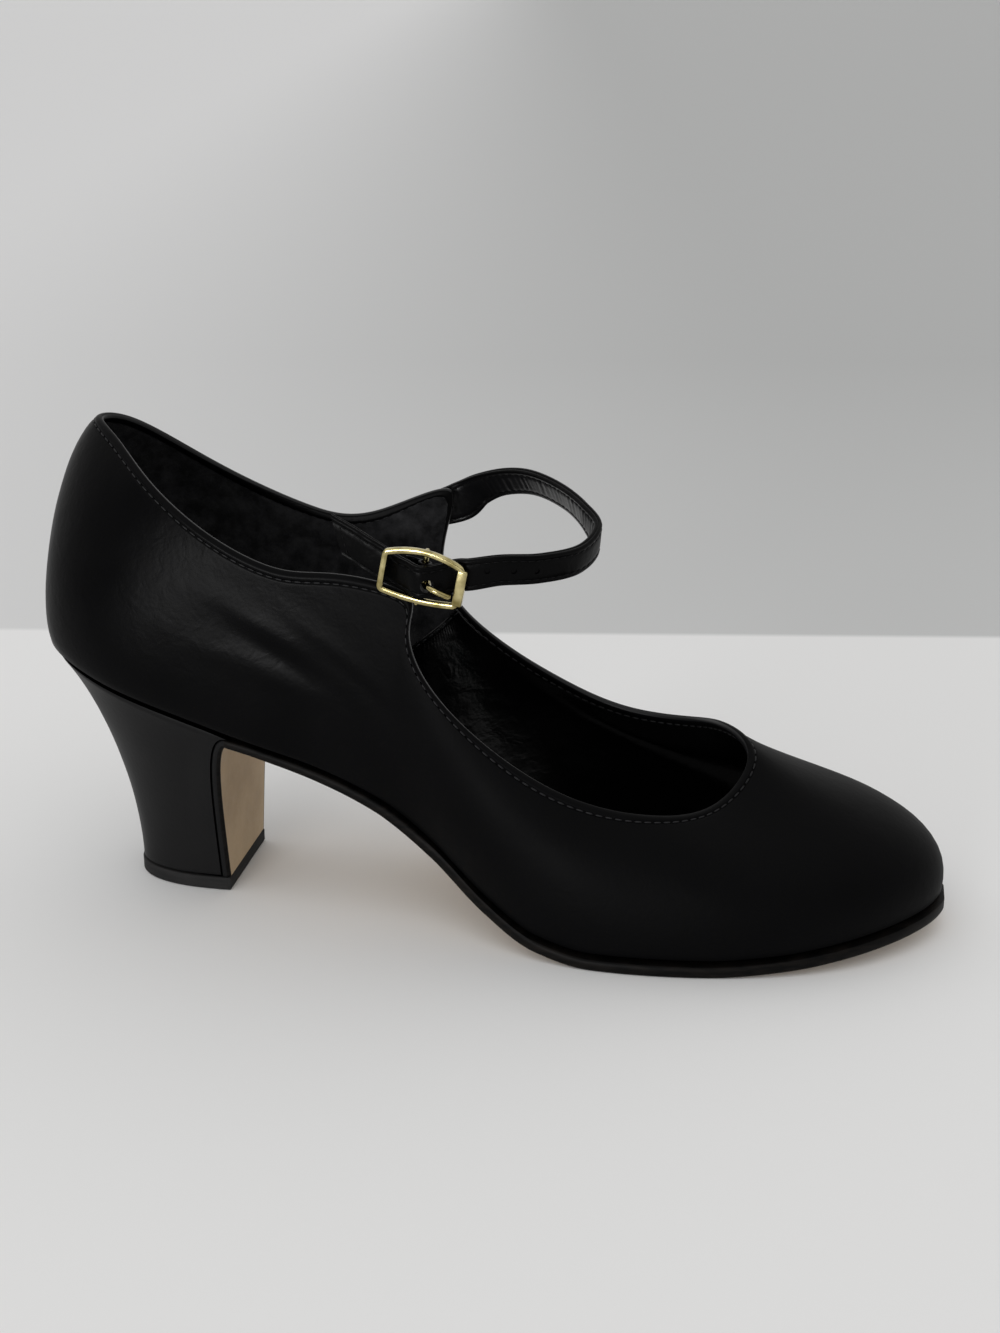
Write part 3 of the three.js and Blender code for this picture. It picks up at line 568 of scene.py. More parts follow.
SOCK_LEATHER = leather("sock_leather", (0.0004, 0.0005, 0.0006), (0.001, 0.0011, 0.0013), 0.18,
                       0.04, 0.06, 0.6, 0.35)
# Rolled topline edge: its lighter colour is a painted highlight along the top of the roll; its greater shine
# is real
EDGE_HIGHLIGHT_LEATHER = leather("edge_leather_painted_highlight", (0.0025, 0.0025, 0.0028), (0.005, 0.005, 0.0055), 0.35, shine=0.22)
# Painted shade: near-black and without shine, laid where joins between parts fall into shadow
PAINTED_SHADE = leather("painted_crevice_shade", (0.0002, 0.0002, 0.0002), (0.0004, 0.0004, 0.0004), 0.9, shine=0.0)
THREAD = thread("black_thread", (0.007, 0.007, 0.0078), 0.25)
STRAP_THREAD = thread("strap_thread", (0.0016, 0.0016, 0.0018), 0.1)

# Napped lining: matt, with a soft pile and worn paler places
QUARTER_LINING = surface(
    "quarter_lining", (0.005, 0.005, 0.0055), 0.9,
    {"pile": ("Noise", 2600, {"Detail": 4.0}, None),
     "slow": ("Noise", 190, {"Detail": 6.0, "Roughness": 0.65}, None)},
    [("pile", 0.25, 0.7), ("slow", 0.2, 0.4)],
    ("slow", 0.38, 0.66, (0.005, 0.0051, 0.0056), (0.023, 0.023, 0.0245)),
    Specular_IOR_Level=0.1, Sheen_Weight=0.05, Sheen_Roughness=0.5)

# Undyed sole leather: tan with fine fibres and soft blotches
SOLE_LEATHER = surface(
    "sole_leather", (0.45, 0.33, 0.235), 0.62,
    {"fibre": ("Noise", 700, {"Detail": 5.0}, (0.25, 1, 1)), "blotch": ("Noise", 60, {"Detail": 3.0}, None)},
    [("fibre", 0.1, 0.35)], ("blotch", 0.3, 0.7, (0.41, 0.308, 0.198), (0.52, 0.4, 0.262)),
    ("fibre", 0.55, 0.7), Specular_IOR_Level=0.25)

# Black edge paint, waxed, with a few fine scuffs along it
SOLE_PAINT = surface(
    "sole_edge", (0.003, 0.0029, 0.0028), 0.5, {"lines": ("Noise", 900, {"Detail": 3.0}, (0.2, 0.2, 1))},
    [("lines", 0.08, 0.4)], ("lines", 0.4, 0.75, (0.0012, 0.0012, 0.0012), (0.007, 0.0056, 0.0047)),
    Specular_IOR_Level=0.08)

RUBBER = surface(
    "black_rubber", (0.008, 0.008, 0.0085), 0.7,
    {"fine": ("Noise", 1800, {"Detail": 3.0}, None),
     "lines": ("Noise", 600, {"Detail": 2.0}, (0.15, 0.15, 1))},
    [("fine", 0.1, 0.5), ("lines", 0.1, 0.4)],
    ("lines", 0.3, 0.7, (0.006, 0.006, 0.0062), (0.013, 0.0125, 0.0125)), Specular_IOR_Level=0.2)

# Pale gilt brass, polished, with faint brushing and slow random changes between a dark and a pale tone
BRASS = surface(
    "brass", (0.6, 0.47, 0.22), 0.2,
    {"brushing": ("Noise", 1200, {"Detail": 2.0}, None), "slow": ("Noise", 260, {"Detail": 2.0}, None)},
    [("brushing", 0.02, 0.3)], ("slow", 0.3, 0.7, (0.2, 0.16, 0.055), (0.62, 0.54, 0.28)),
    ("brushing", 0.1, 0.2), Metallic=1.0)


# Upper

TOPLINE_STITCH = 2.5  # below the folded edge, outside
INSIDE_STITCH = 2.6
SECTION_RUN = 18  # from the back seam to the next section
FEATHER_ROUND = 1.5
SEAM = {"x": 90.3, "z": 59.5, "slope": 0.9}  # where the quarter lining ends on the vamp lining


# x, z, run, drop, width, height of each soft fold
CREASES = [
    (62, 80, 14, 7, 3.2, 0.5),
    (66, 73, 13, 8, 2.8, -0.4),
    (78, 77, 12, 9, 2.6, 0.4),
    (83, 71, 10, 8, 2.4, -0.3),
    (58, 70, 16, 6, 3.6, 0.35),
]


def unevenness(points, size, squash=(1, 1, 1), shift=(0, 0, 0)):
    """Smooth noise, its waves a size in millimetres, at each point."""
    values = [noise.noise(Vector(p * squash) / size + Vector(shift)) for p in points.reshape(-1, 3)]
    return np.array(values).reshape(points.shape[:-1])


def wrinkle(points):
    """Slow, slight unevenness of lasted leather, and the soft creases of the lateral quarter."""
    relief = 0.16 * unevenness(points, 17) + 0.03 * unevenness(points, 5, (0.5, 1, 1), (9, 3, 1))
    for x, z, run, drop, wide, deep in CREASES:
        length = math.hypot(run, drop)
        ahead = np.array([run, -drop]) / length
        from_x, from_z = points[..., 0] - x, points[..., 2] - z
        along = from_x * ahead[0] + from_z * ahead[1]
        across = -from_x * ahead[1] + from_z * ahead[0]
        lateral = points[..., 1] < 0
        relief = relief + lateral * deep * np.exp(-(along / length) ** 2 - (across / wide) ** 2)
    return relief


def topline_relief(down):
    """The turned edge is slightly full above its stitch line, which pulls in."""
    full = 0.22 * np.sin(math.pi * np.clip((down - 0.7) / 1.8, 0, 1))
    return full - 0.3 * np.exp(-((down - TOPLINE_STITCH) / 0.32) ** 2)


def above_seam(points):
    """Height of points over the line where the quarter lining ends."""
    return points[..., 2] - SEAM["z"] - SEAM["slope"] * (points[..., 0] - SEAM["x"])


def heights_below(t, down):
    """Wall heights at distances down from the topline, and the wall's whole length."""
    heights = np.linspace(1, 0, 201)
    run = run_along(wall(t[:, None], heights[None]), 1)
    return np.array([np.interp(down[i], run[i], heights) for i in range(len(t))]), run[:, -1]


def upper_piece():
    t = np.unique(np.round(np.concatenate([np.arange(0, AROUND, 0.05), np.arange(5.3, 8.2, 0.025),
                                           np.arange(17.6, 20.2, 0.025), [0.012, 0.025, AROUND - 0.012,
                                                                          AROUND - 0.025]]), 4))
    fixed = np.array([1, 1.25, 1.5, 1.75, 2, 2.2, 2.35, 2.5, 2.65, 2.8, 3.05, 3.4, 4, 5, 6.5, 8.5, 11, 14])
    share = np.linspace(0, 1, 25)[1:]
    length = heights_below(t, np.zeros((len(t), 1)))[1]
    down = np.concatenate([np.repeat(fixed[None], len(t), 0),
                           fixed[-1] + share[None, :-1] * (length[:, None] - fixed[-1] - FEATHER_ROUND),
                           length[:, None] - np.array([1.2, 0.8, 0.4, 0.15, 0])], axis=1)
    heights = heights_below(t, down)[0]
    outer = wall(t[:, None], heights)
    normals = wall_normal(t[:, None], heights)
    above_feather = length[:, None] - down
    rounding = rounding_off(above_feather, FEATHER_ROUND)
    fade = smoothstep(above_feather, 0, FEATHER_ROUND)
    from_seam = np.abs(np.where(t > AROUND / 2, t - AROUND, t))[:, None] * SECTION_RUN
    seam = -0.3 * np.exp(-(from_seam / 0.35) ** 2) * smoothstep(down, 2.5, 3.5)
    relief = (topline_relief(down) + wrinkle(outer) * smoothstep(down, 2.5, 9) + seam) * fade - rounding
    outer = outer + normals * relief[..., None]

    top, out = wall(t, 1), wall_normal(t, 1)
    rising = unit(top - wall(t, 1 - NUDGE))
    half = WALL / 2
    centre = top - rising * half - out * half
    turn = np.linspace(0, math.pi, 9)[1:-1]
    roll = centre[:, None] + half * (out[:, None] * np.cos(turn)[None, :, None]
                                     + rising[:, None] * np.sin(turn)[None, :, None])

    inner_fixed = np.array([1, 1.6, 2.2, 2.6, 3, 3.8, 5, 7, 9.5, 12])
    inner_share = np.linspace(0, 1, 21)[None, 1:]
    inner_down = np.concatenate([np.repeat(inner_fixed[None], len(t), 0),
                                 inner_fixed[-1] + inner_share * (length[:, None] - inner_fixed[-1]
                                                                  - WALL - 0.6)], axis=1)
    inner_heights = heights_below(t, inner_down)[0]
    face = wall(t[:, None], inner_heights)
    quarter = above_seam(face) / 1.35
    lift = 0.35 * smoothstep(quarter, -0.5, 0.5) - 0.2 * np.exp(-((inner_down - INSIDE_STITCH) / 0.4) ** 2)
    lift = lift * smoothstep(inner_down, 1, 2)
    inner = face - wall_normal(t[:, None], inner_heights) * (WALL + lift)[..., None]

    outward_foot = outward(t)
    margins = []
    for inset, raised in ((WALL + 1, WALL), (LASTING, WALL), (LASTING, 0), (LASTING / 2, 0)):
        x = foot_x(t) - outward_foot[:, 0] * inset
        margins.append(stack(x, foot_y(t) - outward_foot[:, 1] * inset, bottom(x) + raised))
    loops = np.concatenate([outer[:, ::-1], roll, inner, np.stack(margins, 1)], axis=1)
    first_inner = outer.shape[1] + roll.shape[1]
    last_inner = first_inner + inner.shape[1]

    def slot_of(row, column, middles):
        inside = (column >= first_inner - 2) & (column <= last_inner)
        felted = above_seam(middles) > 0
        bound = column < first_inner + 3
        # painted highlight: the top of the rolled topline edge takes the lighter edge leather
        edge = (column >= first_inner - 5) & (column <= first_inner - 3)
        # painted shade: the rounded foot of the wall at the feather and the margins beneath it take the
        # near-black shade finish
        under = (column < 4) | (column > last_inner)
        return np.where(under, 4, np.where(edge, 3, np.where(inside & ~bound, np.where(felted, 1, 2), 0)))

    materials = [BLACK_LEATHER, QUARTER_LINING, VAMP_LINING, EDGE_HIGHLIGHT_LEATHER, PAINTED_SHADE]
    piece = skin("upper_leather", loops, materials, True, slot_of)
    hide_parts("upper")


def topline_stitches():
    t = np.arange(0, AROUND, 0.05)
    rows = []
    for name, side, down in (("outside", 1, TOPLINE_STITCH), ("inside", -1, INSIDE_STITCH)):
        height = heights_below(t, np.full((len(t), 1), down))[0][:, 0]
        normal = wall_normal(t, height)
        depth = -0.12 if side > 0 else -(WALL - 0.02)
        rows.append(stitch_row(name, wall(t, height) + normal * depth, normal * side, THREAD, closed=True))
    piece = merge("topline_stitches", rows)


SEAM_SIDES = [(4.0, 10.0), (14.0, 21.5)]
SEAM_TAPE = {"width": 1.7, "thickness": 0.5, "depth": 0.22}


def lining_seam():
    """Narrow folded edge of the quarter lining, sewn down on the vamp lining on both sides."""
    pieces = []
    heights = np.linspace(0.07, 0.955, 200)
    for start, end in SEAM_SIDES:
        t = np.linspace(start, end, 600)
        over = above_seam(wall(t[:, None], heights[None]))
        crosses = (over[:, :-1] < 0) & (over[:, 1:] >= 0)
        found = crosses.any(1)
        place, step = t[found], crosses[found].argmax(1)
        low, high = over[found, step], over[found, step + 1]
        height = heights[step] + (heights[step + 1] - heights[step]) * low / (low - high)
        keep = np.linspace(0, len(place) - 1, 60).astype(int)
        place, height = place[keep], height[keep]
        normal = wall_normal(place, height)
        middle = wall(place, height) - normal * (WALL + SEAM_TAPE["depth"])
        across = unit(np.cross(normal, np.gradient(middle, axis=0)))
        section = rounded(SEAM_TAPE["width"], SEAM_TAPE["thickness"], 3, 12)
        pieces.append(skin("seam", sweep(middle, across, -normal, section), [VAMP_LINING]))
        top = middle - normal * SEAM_TAPE["thickness"] / 2
        pieces.append(stitch_row("seam_row", top, -normal, THREAD, **FINE_STITCH))
    piece = merge("lining_seam", pieces)


# Insole

def place_at(x, near, far, edge=0):
    """Place on the ring, from near to far, where the feather line grown by edge reaches x."""
    x = np.asarray(x, float)
    near, far = np.full_like(x, near), np.full_like(x, far)
    for _ in range(40):
        t = (near + far) / 2
        short = foot_x(t) + outward(t)[..., 0] * edge < x
        near, far = np.where(short, t, near), np.where(short, far, t)
    return near


def side_at(x, edge, lateral):
    """Half width of the last bottom at x, grown by edge: negative on the lateral side."""
    t = place_at(x, 0.2 if lateral else AROUND - 0.2, TOE, edge)
    return foot_y(t) + outward(t)[..., 1] * edge


def stations(start, end, count, round_start):
    s = np.linspace(0, 1, count + 1)
    eased = (1 - np.cos(math.pi * s)) / 2 if round_start else np.sin(math.pi * s / 2)
    return start + (end - start) * eased


def insole_piece():
    edge = -(WALL + INSOLE_INSET)
    x = stations(float(foot_x(0)) - edge + 1.2, float(foot_x(TOE)) + edge - 0.1, 150, True)
    lateral, medial = side_at(x, edge, True), side_at(x, edge, False)
    under = bottom(x) + (WALL + GAP) * bottom_steep(x)
    shares = np.array([0, 0.01, 0.03, 0.08, 0.16, 0.27, 0.4, 0.5, 0.6, 0.73, 0.84, 0.92, 0.97, 0.99, 1])
    soft = INSOLE * (1 - 0.3 * np.exp(-shares / 0.012) - 0.3 * np.exp(-(1 - shares) / 0.012))
    y = lateral[:, None] + (medial - lateral)[:, None] * shares[None]
    top = stack(x[:, None], y, under[:, None] + soft[None])
    top[..., 2] += 0.18 * unevenness(top, 14) * np.sin(math.pi * shares)[None]
    low = stack(x[:, None], lateral[:, None] + (medial - lateral)[:, None] * [1, 0.5, 0], under[:, None])
    piece = skin("insole_sock", np.concatenate([top, low], 1), [SOCK_LEATHER])
    keep_sharp(piece, 50)
    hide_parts("insole")


# Heel

shoulder_x, shoulder_out, shoulder_z, foot_out, foot_rise = (course(HEEL_SIDE[:, 0], HEEL_SIDE[:, k])
                                                              for k in range(1, 6))
SEAT_INSET = 0.4
LIP_DROP = 0.4
LATERAL_LIP = place_at(HEEL_LIP, 0, 6)
MEDIAL_LIP = place_at(HEEL_LIP, 0, -6)


def heel_foot(side, z, grow=0):
    """Rim of the heel at the floor: side runs from -1, the lateral breast corner, to 1, the medial one."""
    angle = np.abs(side) * math.pi / 2
    depth = (HEEL_FRONT - HEEL_BACK + grow) * np.abs(np.cos(angle)) ** HEEL_ROUNDNESS
    half = (HEEL_FOOT + grow) * np.sin(angle) ** HEEL_ROUNDNESS
    return stack(HEEL_FRONT - depth, np.sign(side) * half, z)


def heel_side(side, depth):
    """Side face of the heel: side as above, depth 0 at the seat and 1 at the floor rim."""
    side, depth = np.broadcast_arrays(np.asarray(side, float), np.asarray(depth, float))
    t = np.where(side < 0, -side * LATERAL_LIP, side * MEDIAL_LIP)
    place, sign = np.abs(side), np.sign(side)
    lip = place ** 6
    out = outward(t)
    x, y = foot_x(t) - out[..., 0] * SEAT_INSET, foot_y(t) - out[..., 1] * SEAT_INSET
    seat = stack(x, y, bottom(x) - GAP - LIP_DROP * lip)
    foot = heel_foot(side, TOP_PIECE + GAP)
    high = seat + stack(shoulder_x(place), sign * shoulder_out(place), shoulder_z(place))
    low = foot + stack(0, sign * foot_out(place), foot_rise(place))
    return bezier(seat, high, low, foot, depth[..., None])


SEAT_ROUND = 2.4
FOOT_ROUND = 0.5


def heel_piece():
    """The covered block, its seat rim rolled in under the upper."""
    sides = np.linspace(-1, 1, 161)
    depths = np.concatenate([[0, 0.004, 0.01, 0.018, 0.028, 0.042], np.linspace(0.065, 0.97, 48),
                             [0.985, 0.995, 1]])
    across, down = sides[None], depths[:, None]
    face = heel_side(across, down)
    along = heel_side(np.minimum(across + NUDGE, 1), down) - heel_side(np.maximum(across - NUDGE, -1), down)
    falling = heel_side(across, np.minimum(down + NUDGE, 1)) - heel_side(across, np.maximum(down - NUDGE, 0))
    normal = unit(np.cross(falling, along))
    from_middle = (face - [FLOOR_CENTRE, 0, 0]) * [1, 1, 0]
    normal *= np.sign(np.sum(normal * from_middle, -1, keepdims=True))
    run = run_along(face)
    inset = rounding_off(run, SEAT_ROUND) * (1 - np.abs(across) ** 10)
    inset += rounding_off(run[-1][None] - run, FOOT_ROUND)
    edge_fade = (1 - np.abs(across) ** 8) * smoothstep(run, 0, 5)
    face = face + normal * (0.12 * unevenness(face, 12) * edge_fade - inset)[..., None]
    middle = (face[:, :1] + face[:, -1:]) / 2
    loops = np.concatenate([face, middle], 1)
    # painted shade: the top rows of the seat rim, in the groove under the upper, take the near-black shade
    # finish
    piece = skin("heel_cover", loops, [HEEL_LEATHER, PAINTED_SHADE], False, lambda row, column, middles: row < 5)
    keep_sharp(piece, 50)
    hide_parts("heel")


def top_piece():
    """Rubber lift: a D with its straight side at the breast, its edges worn round."""
    sides = np.linspace(-1, 1, 121)
    rim = heel_foot(sides, 0, 0.2)[:, :2]
    front = HEEL_FRONT + GAP + FLAP
    straight = stack(front, np.linspace(HEEL_FOOT, -HEEL_FOOT, 31))
    flank = np.linspace(rim[-1], straight[0], 6)[1:-1]
    flank_back = np.linspace(straight[-1], rim[0], 6)[1:-1]
    outline = np.vstack([rim, flank, straight, flank_back])
    ahead = np.roll(outline, -1, 0) - np.roll(outline, 1, 0)
    inward = unit(stack(-ahead[:, 1], ahead[:, 0]))
    inward *= np.sign(np.sum(inward * (np.array([FLOOR_CENTRE, 0]) - outline), -1, keepdims=True))
    levels = [(0, 9), (0, 0.5), (0.1, 0.2), (0.35, 0), (1.7, 0.02), (3.35, 0), (3.6, 0.15),
              (TOP_PIECE, 0.4), (TOP_PIECE, 9)]
    loops = np.array([np.column_stack([outline + inward * inset, np.full(len(outline), z)])
                      for z, inset in levels])
    points = loops.reshape(-1, 3)
    rows, columns = loops.shape[:2]
    quads = grid_quads(rows, columns, False, True)[2].tolist()
    faces = quads + [list(range(columns))[::-1], list(range((rows - 1) * columns, rows * columns))]
    piece = make("heel_lift", points, faces, [RUBBER])
    turn_out(piece)
    keep_sharp(piece, 35)
    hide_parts("top_piece")


# Outsole

SOLE_RIM = 1.0  # width of the edge paint on the tan face
CORNER_RIM = 2.6  # more of it where the flap turns into the waist
FLAP_ROWS = 60


def outsole_piece():
    """Tread, waist and breast flap in one slab, with a rounded painted edge."""
    depth = np.linspace(1, 0.07, FLAP_ROWS)
    here, there = heel_side(-1.0, depth), heel_side(1.0, depth)
    along = heel_side(-1.0, np.maximum(depth - NUDGE, 0)) - heel_side(-1.0, np.minimum(depth + NUDGE, 1))
    ahead = unit(stack(along[:, 2], -along[:, 0]))
    x = stations(HEEL_LIP + 5, float(foot_x(TOE)) + SOLE_EDGE - 0.1, 220, False)
    steep = bottom_steep(x)
    grown = smoothstep(x, HEEL_LIP, LENGTH / 2)
    proud = SOLE_EDGE * grown
    thick = FLAP + (SOLE - FLAP) * grown
    tops = np.vstack([here[:, ::2] + ahead * GAP, stack(x, bottom(x) - SOLE_GAP * steep)])
    downs = np.vstack([ahead * FLAP, stack(0, -thick * steep)])
    laterals = np.append(here[:, 1], side_at(x, proud, True))
    medials = np.append(there[:, 1], side_at(x, proud, False))
    half = (medials - laterals) / 2
    from_turn = np.hypot(tops[:, 0] - tops[FLAP_ROWS, 0], tops[:, 1] - tops[FLAP_ROWS, 1])
    rim = SOLE_RIM + CORNER_RIM * np.clip(1 - from_turn / CORNER_RIM, 0, 1) ** 2
    profile = [(0.9, 0), (0.35, 0.03), (0.08, 0.16), (0, 0.4), (0.02, 0.62), (0.12, 0.84), (0.4, 0.97),
               (0.7, 1), (None, 1)]
    loop = [("middle", 0, 0)] + [("lateral", share, inset) for inset, share in profile] \
        + [("middle", 1, 0)] + [("medial", share, inset) for inset, share in profile[::-1]]
    columns = []
    for edge, share, inset in loop:
        inset = np.minimum(rim if inset is None else inset, half * 0.9)
        y = {"middle": laterals + half, "lateral": laterals + inset, "medial": medials - inset}[edge]
        columns.append(stack(tops[:, 0] + downs[:, 0] * share, y, tops[:, 1] + downs[:, 1] * share))
    loops = np.stack(columns, 1)
    count = len(profile)

    def slot_of(row, column, middles):
        tan = (column == count) | (column == count + 1)
        from_middle = np.minimum(column, 2 * count + 1 - column)
        covered = (row < FLAP_ROWS - 2) & (from_middle < count - 4)
        return np.where(tan, 1, np.where(covered, 2, 0))

    piece = skin("leather_sole", loops, [SOLE_PAINT, SOLE_LEATHER, HEEL_LEATHER], False, slot_of)
    keep_sharp(piece, 50)
    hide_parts("outsole")


# Strap

def buckle_axes():
    tilt = math.radians(BUCKLE_TILT)
    along = np.array([math.cos(tilt), 0, -math.sin(tilt)])
    out = np.array([0, -1.0, 0])
    return along, np.cross(out, along), out


ALONG, BUCKLE_UP, OUT = buckle_axes()


def in_shoe(points):
    """Points given along, up and out in the buckle's frame, in the shoe's."""
    points = np.asarray(points, float)
    return BUCKLE_CENTRE + points[..., :1] * ALONG + points[..., 1:2] * BUCKLE_UP + points[..., 2:3] * OUT


def band_frames(rows, count):
    """Middle points, directions across and through, and widths, at even shares of a band's rows."""
    rows = np.array(rows, float)
    curve = spline(rows[:, :3])
    share = np.linspace(0, 1, count)
    middle = curve(share)
    ahead = unit(curve(np.minimum(share + 1e-4, 1)) - curve(np.maximum(share - 1e-4, 0)))
    places = np.arange(len(rows))
    lean = np.radians(course(places, rows[:, 3])(share * (len(rows) - 1)))[:, None]
    width = course(places, rows[:, 4])(share * (len(rows) - 1))
    tall = unit(UP - ahead * ahead[:, 2:3])
    across = tall * np.cos(lean) + np.cross(ahead, tall) * np.sin(lean)
    return middle, ahead, across, np.cross(ahead, across), width


def strap_rows():
    lap = [(*off_wall(place, LAP_HEIGHT, GAP + STRAP / 2), 4, LAP_WIDTH) for place in STRAP_LAP]
    threaded = [(*in_shoe(row[:3]), row[3], row[4]) for row in STRAP_IN_BUCKLE]
    return lap + STRAP_LOOP + threaded + STRAP_TAIL


STITCH_INSET = 1.3
HOLES_AT = [(119.4, -32.1, 100.0), (125.5, -29.6, 99.5), (130.6, -26.4, 98.8)]


def strap_piece():
    """Two layers folded and sewn: rounded edges with a seam between, a stitch groove each side and a
    lining that wrinkles where the strap bends round the instep."""
    middle, ahead, across, inward, width = band_frames(strap_rows(), 420)
    run = run_along(middle)
    deep = STRAP / 2
    edge = [(0.5, deep), (0.16, deep - 0.14), (0, deep - 0.5), (0.02, 0.2), (0.16, 0), (0.02, -0.2),
            (0, 0.5 - deep), (0.16, 0.14 - deep), (0.5, -deep)]
    groove = [(0.9, 0.02), (1.15, 0.1), (STITCH_INSET, 0.16), (1.45, 0.1), (1.8, 0), (2.6, -0.03)]
    half = width / 2
    slide = TAIL_SLANT["rate"] * smoothstep(np.linspace(0, 1, len(middle)), 1 - TAIL_SLANT["share"], 1)
    bend = smoothstep(middle[:, 0], 104, 112) * smoothstep(middle[:, 1], -22, -6)
    ripple = np.sin(run * 2 * math.pi / 1.9 + 1.7 * np.sin(run / 2.3)) * (0.6 + 0.4 * np.sin(run * 0.9 + 1))
    inner = [(half - i, -deep + g) for i, g in groove] + [(0 * half, -deep - 0.02)]
    inner += [(i - half, -deep + g) for i, g in groove[::-1]]
    section = [(half - i, d) for i, d in edge]
    section += [(w, d + 0.13 * bend * ripple * (1 - (w / half) ** 2)) for w, d in inner]
    section += [(i - half, d) for i, d in edge[::-1]] + [(i - half, deep - g) for i, g in groove]
    section += [(0 * half, deep + 0.04)] + [(half - i, deep - g) for i, g in groove[::-1]]
    loops = np.stack([middle + across * w[:, None] - inward * (d + 0 * half)[:, None]
                      + ahead * (w * slide)[:, None] for w, d in section], 1)
    first, count = len(edge) - 1, len(inner) + 1

    def slot_of(row, column, middles):
        return np.where((column >= first) & (column < first + count), 1, 0)

    piece = skin("strap_leather", loops, [STRAP_LEATHER, STRAP_LINING], False, slot_of)
    drill(piece, [(in_shoe((HOLE["along"], HOLE["up"], 0)), OUT, HOLE["radius"])]
          + [pit(middle, inward, np.array(p)) for p in HOLES_AT])
    keep_sharp(piece, 50)
    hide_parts("strap")

    rows = []
    for sign in (1, -1):
        for face in (1, -1):
            keep = slice(4, -6)
            edge_line = sign * (half - STITCH_INSET)
            path = middle + across * edge_line[:, None] + inward * face * (deep - 0.12) \
                + ahead * (edge_line * slide)[:, None]
            rows.append(stitch_row("row", path[keep], (inward * face)[keep], STRAP_THREAD, **FINE_STITCH))
    share = np.linspace(-1, 1, 9)[:, None] * (half[-1] - STITCH_INSET)
    tail = middle[-1] - ahead[-1] * 2
    for face in (1, -1):
        path = tail + (across[-1] + ahead[-1] * TAIL_SLANT["rate"]) * share
        path = path + inward[-1] * face * (deep - 0.02)
        rows.append(stitch_row("end", path, np.repeat(inward[-1:] * face, 9, 0), STRAP_THREAD, **END_STITCH))
    threads = merge("strap_stitches", rows)


DRILL_LENGTH = 8
PIT = {"short": 0.2, "radius": 0.75}


def pit(middle, inward, place):
    """A spare hole, punched from the outside and closed up at the lining."""
    facing = inward[np.argmin(np.linalg.norm(middle - place, axis=1))]
    outside = facing * np.sign(facing[1]) * -1
    return place + outside * (DRILL_LENGTH / 2 - PIT["short"]), outside, PIT["radius"]


def drill(piece, holes):
    """Cuts round holes given by centre, direction and radius in millimetres."""
    for centre, direction, radius in holes:
        bpy.ops.mesh.primitive_cylinder_add(vertices=24, radius=radius / 1000, depth=DRILL_LENGTH / 1000)
        tool = bpy.context.object
        turn = Vector((0, 0, 1)).rotation_difference(Vector(direction)).to_matrix().to_4x4()
        tool.matrix_world = Matrix.Translation(in_row(centre)) @ turn
        bpy.context.view_layer.update()
        reshape(piece, "BOOLEAN", object=tool, operation="DIFFERENCE", solver="EXACT")
        bpy.data.objects.remove(tool)


# Buckle

def quadratic(a, b, c, count):
    s = np.linspace(0, 1, count, endpoint=False)[:, None]
    a, b, c = (np.array(p, float) for p in (a, b, c))
    return a * (1 - s) ** 2 + b * 2 * s * (1 - s) + c * s * s


def frame_path(inset):
    """Outline of the buckle's frame, drawn in by inset."""
    end = BUCKLE_LENGTH / 2 - inset
    corner = BUCKLE_ENDS / 2 - inset
    r = max(BUCKLE_CORNER - inset, 0.5)
    rail = corner + r * 0.3
    path = []
    for side, bow in ((1, RAIL_BOW["top"] - inset), (-1, -RAIL_BOW["foot"] - inset)):
        before, at_rail = (-end, corner - r), (-end + r, rail)
        half = [np.linspace((-end, -corner + r), before, 14, endpoint=False),
                quadratic(before, (-end, corner), at_rail, 8),
                quadratic(at_rail, (0, bow), (end - r, rail), 44),
                quadratic((end - r, rail), (end, corner), (end, corner - r), 8)]
        path.append(np.vstack(half) * side)
    return np.vstack(path)


def rounded(width, height, power, count):
    """Rounded rectangle as a loop of (across, up) points."""
    a = np.arange(count) * 2 * math.pi / count
    c, s = np.cos(a), np.sin(a)
    return stack(np.sign(c) * np.abs(c) ** (2 / power) * width / 2,
                 np.sign(s) * np.abs(s) ** (2 / power) * height / 2)


def rail_piece():
    path = frame_path(RAIL / 2)
    ahead = unit(np.roll(path, -1, 0) - np.roll(path, 1, 0))
    across = stack(ahead[:, 1], -ahead[:, 0])
    section = rounded(RAIL, FRAME_DEPTH, 3.2, 20)
    flat = path[:, None] + across[:, None] * section[None, :, :1]
    loops = np.concatenate([flat, np.repeat(section[None, :, 1:], len(path), 0)], -1)
    return skin("rails", in_shoe(loops), [BRASS], True)


def block(name, size, centre, bevel, material):
    """A bar with bevelled edges in the buckle's frame."""
    corners = np.array([(x, y, z) for x in (-1, 1) for y in (-1, 1) for z in (-1, 1)]) * 0.5
    faces = [(0, 1, 3, 2), (4, 6, 7, 5), (0, 4, 5, 1), (2, 3, 7, 6), (0, 2, 6, 4), (1, 5, 7, 3)]
    piece = make(name, in_shoe(corners * size + centre), faces, [material])
    turn_out(piece)
    reshape(piece, "BEVEL", width=bevel / 1000, segments=4)
    keep_sharp(piece, 40)
    return piece


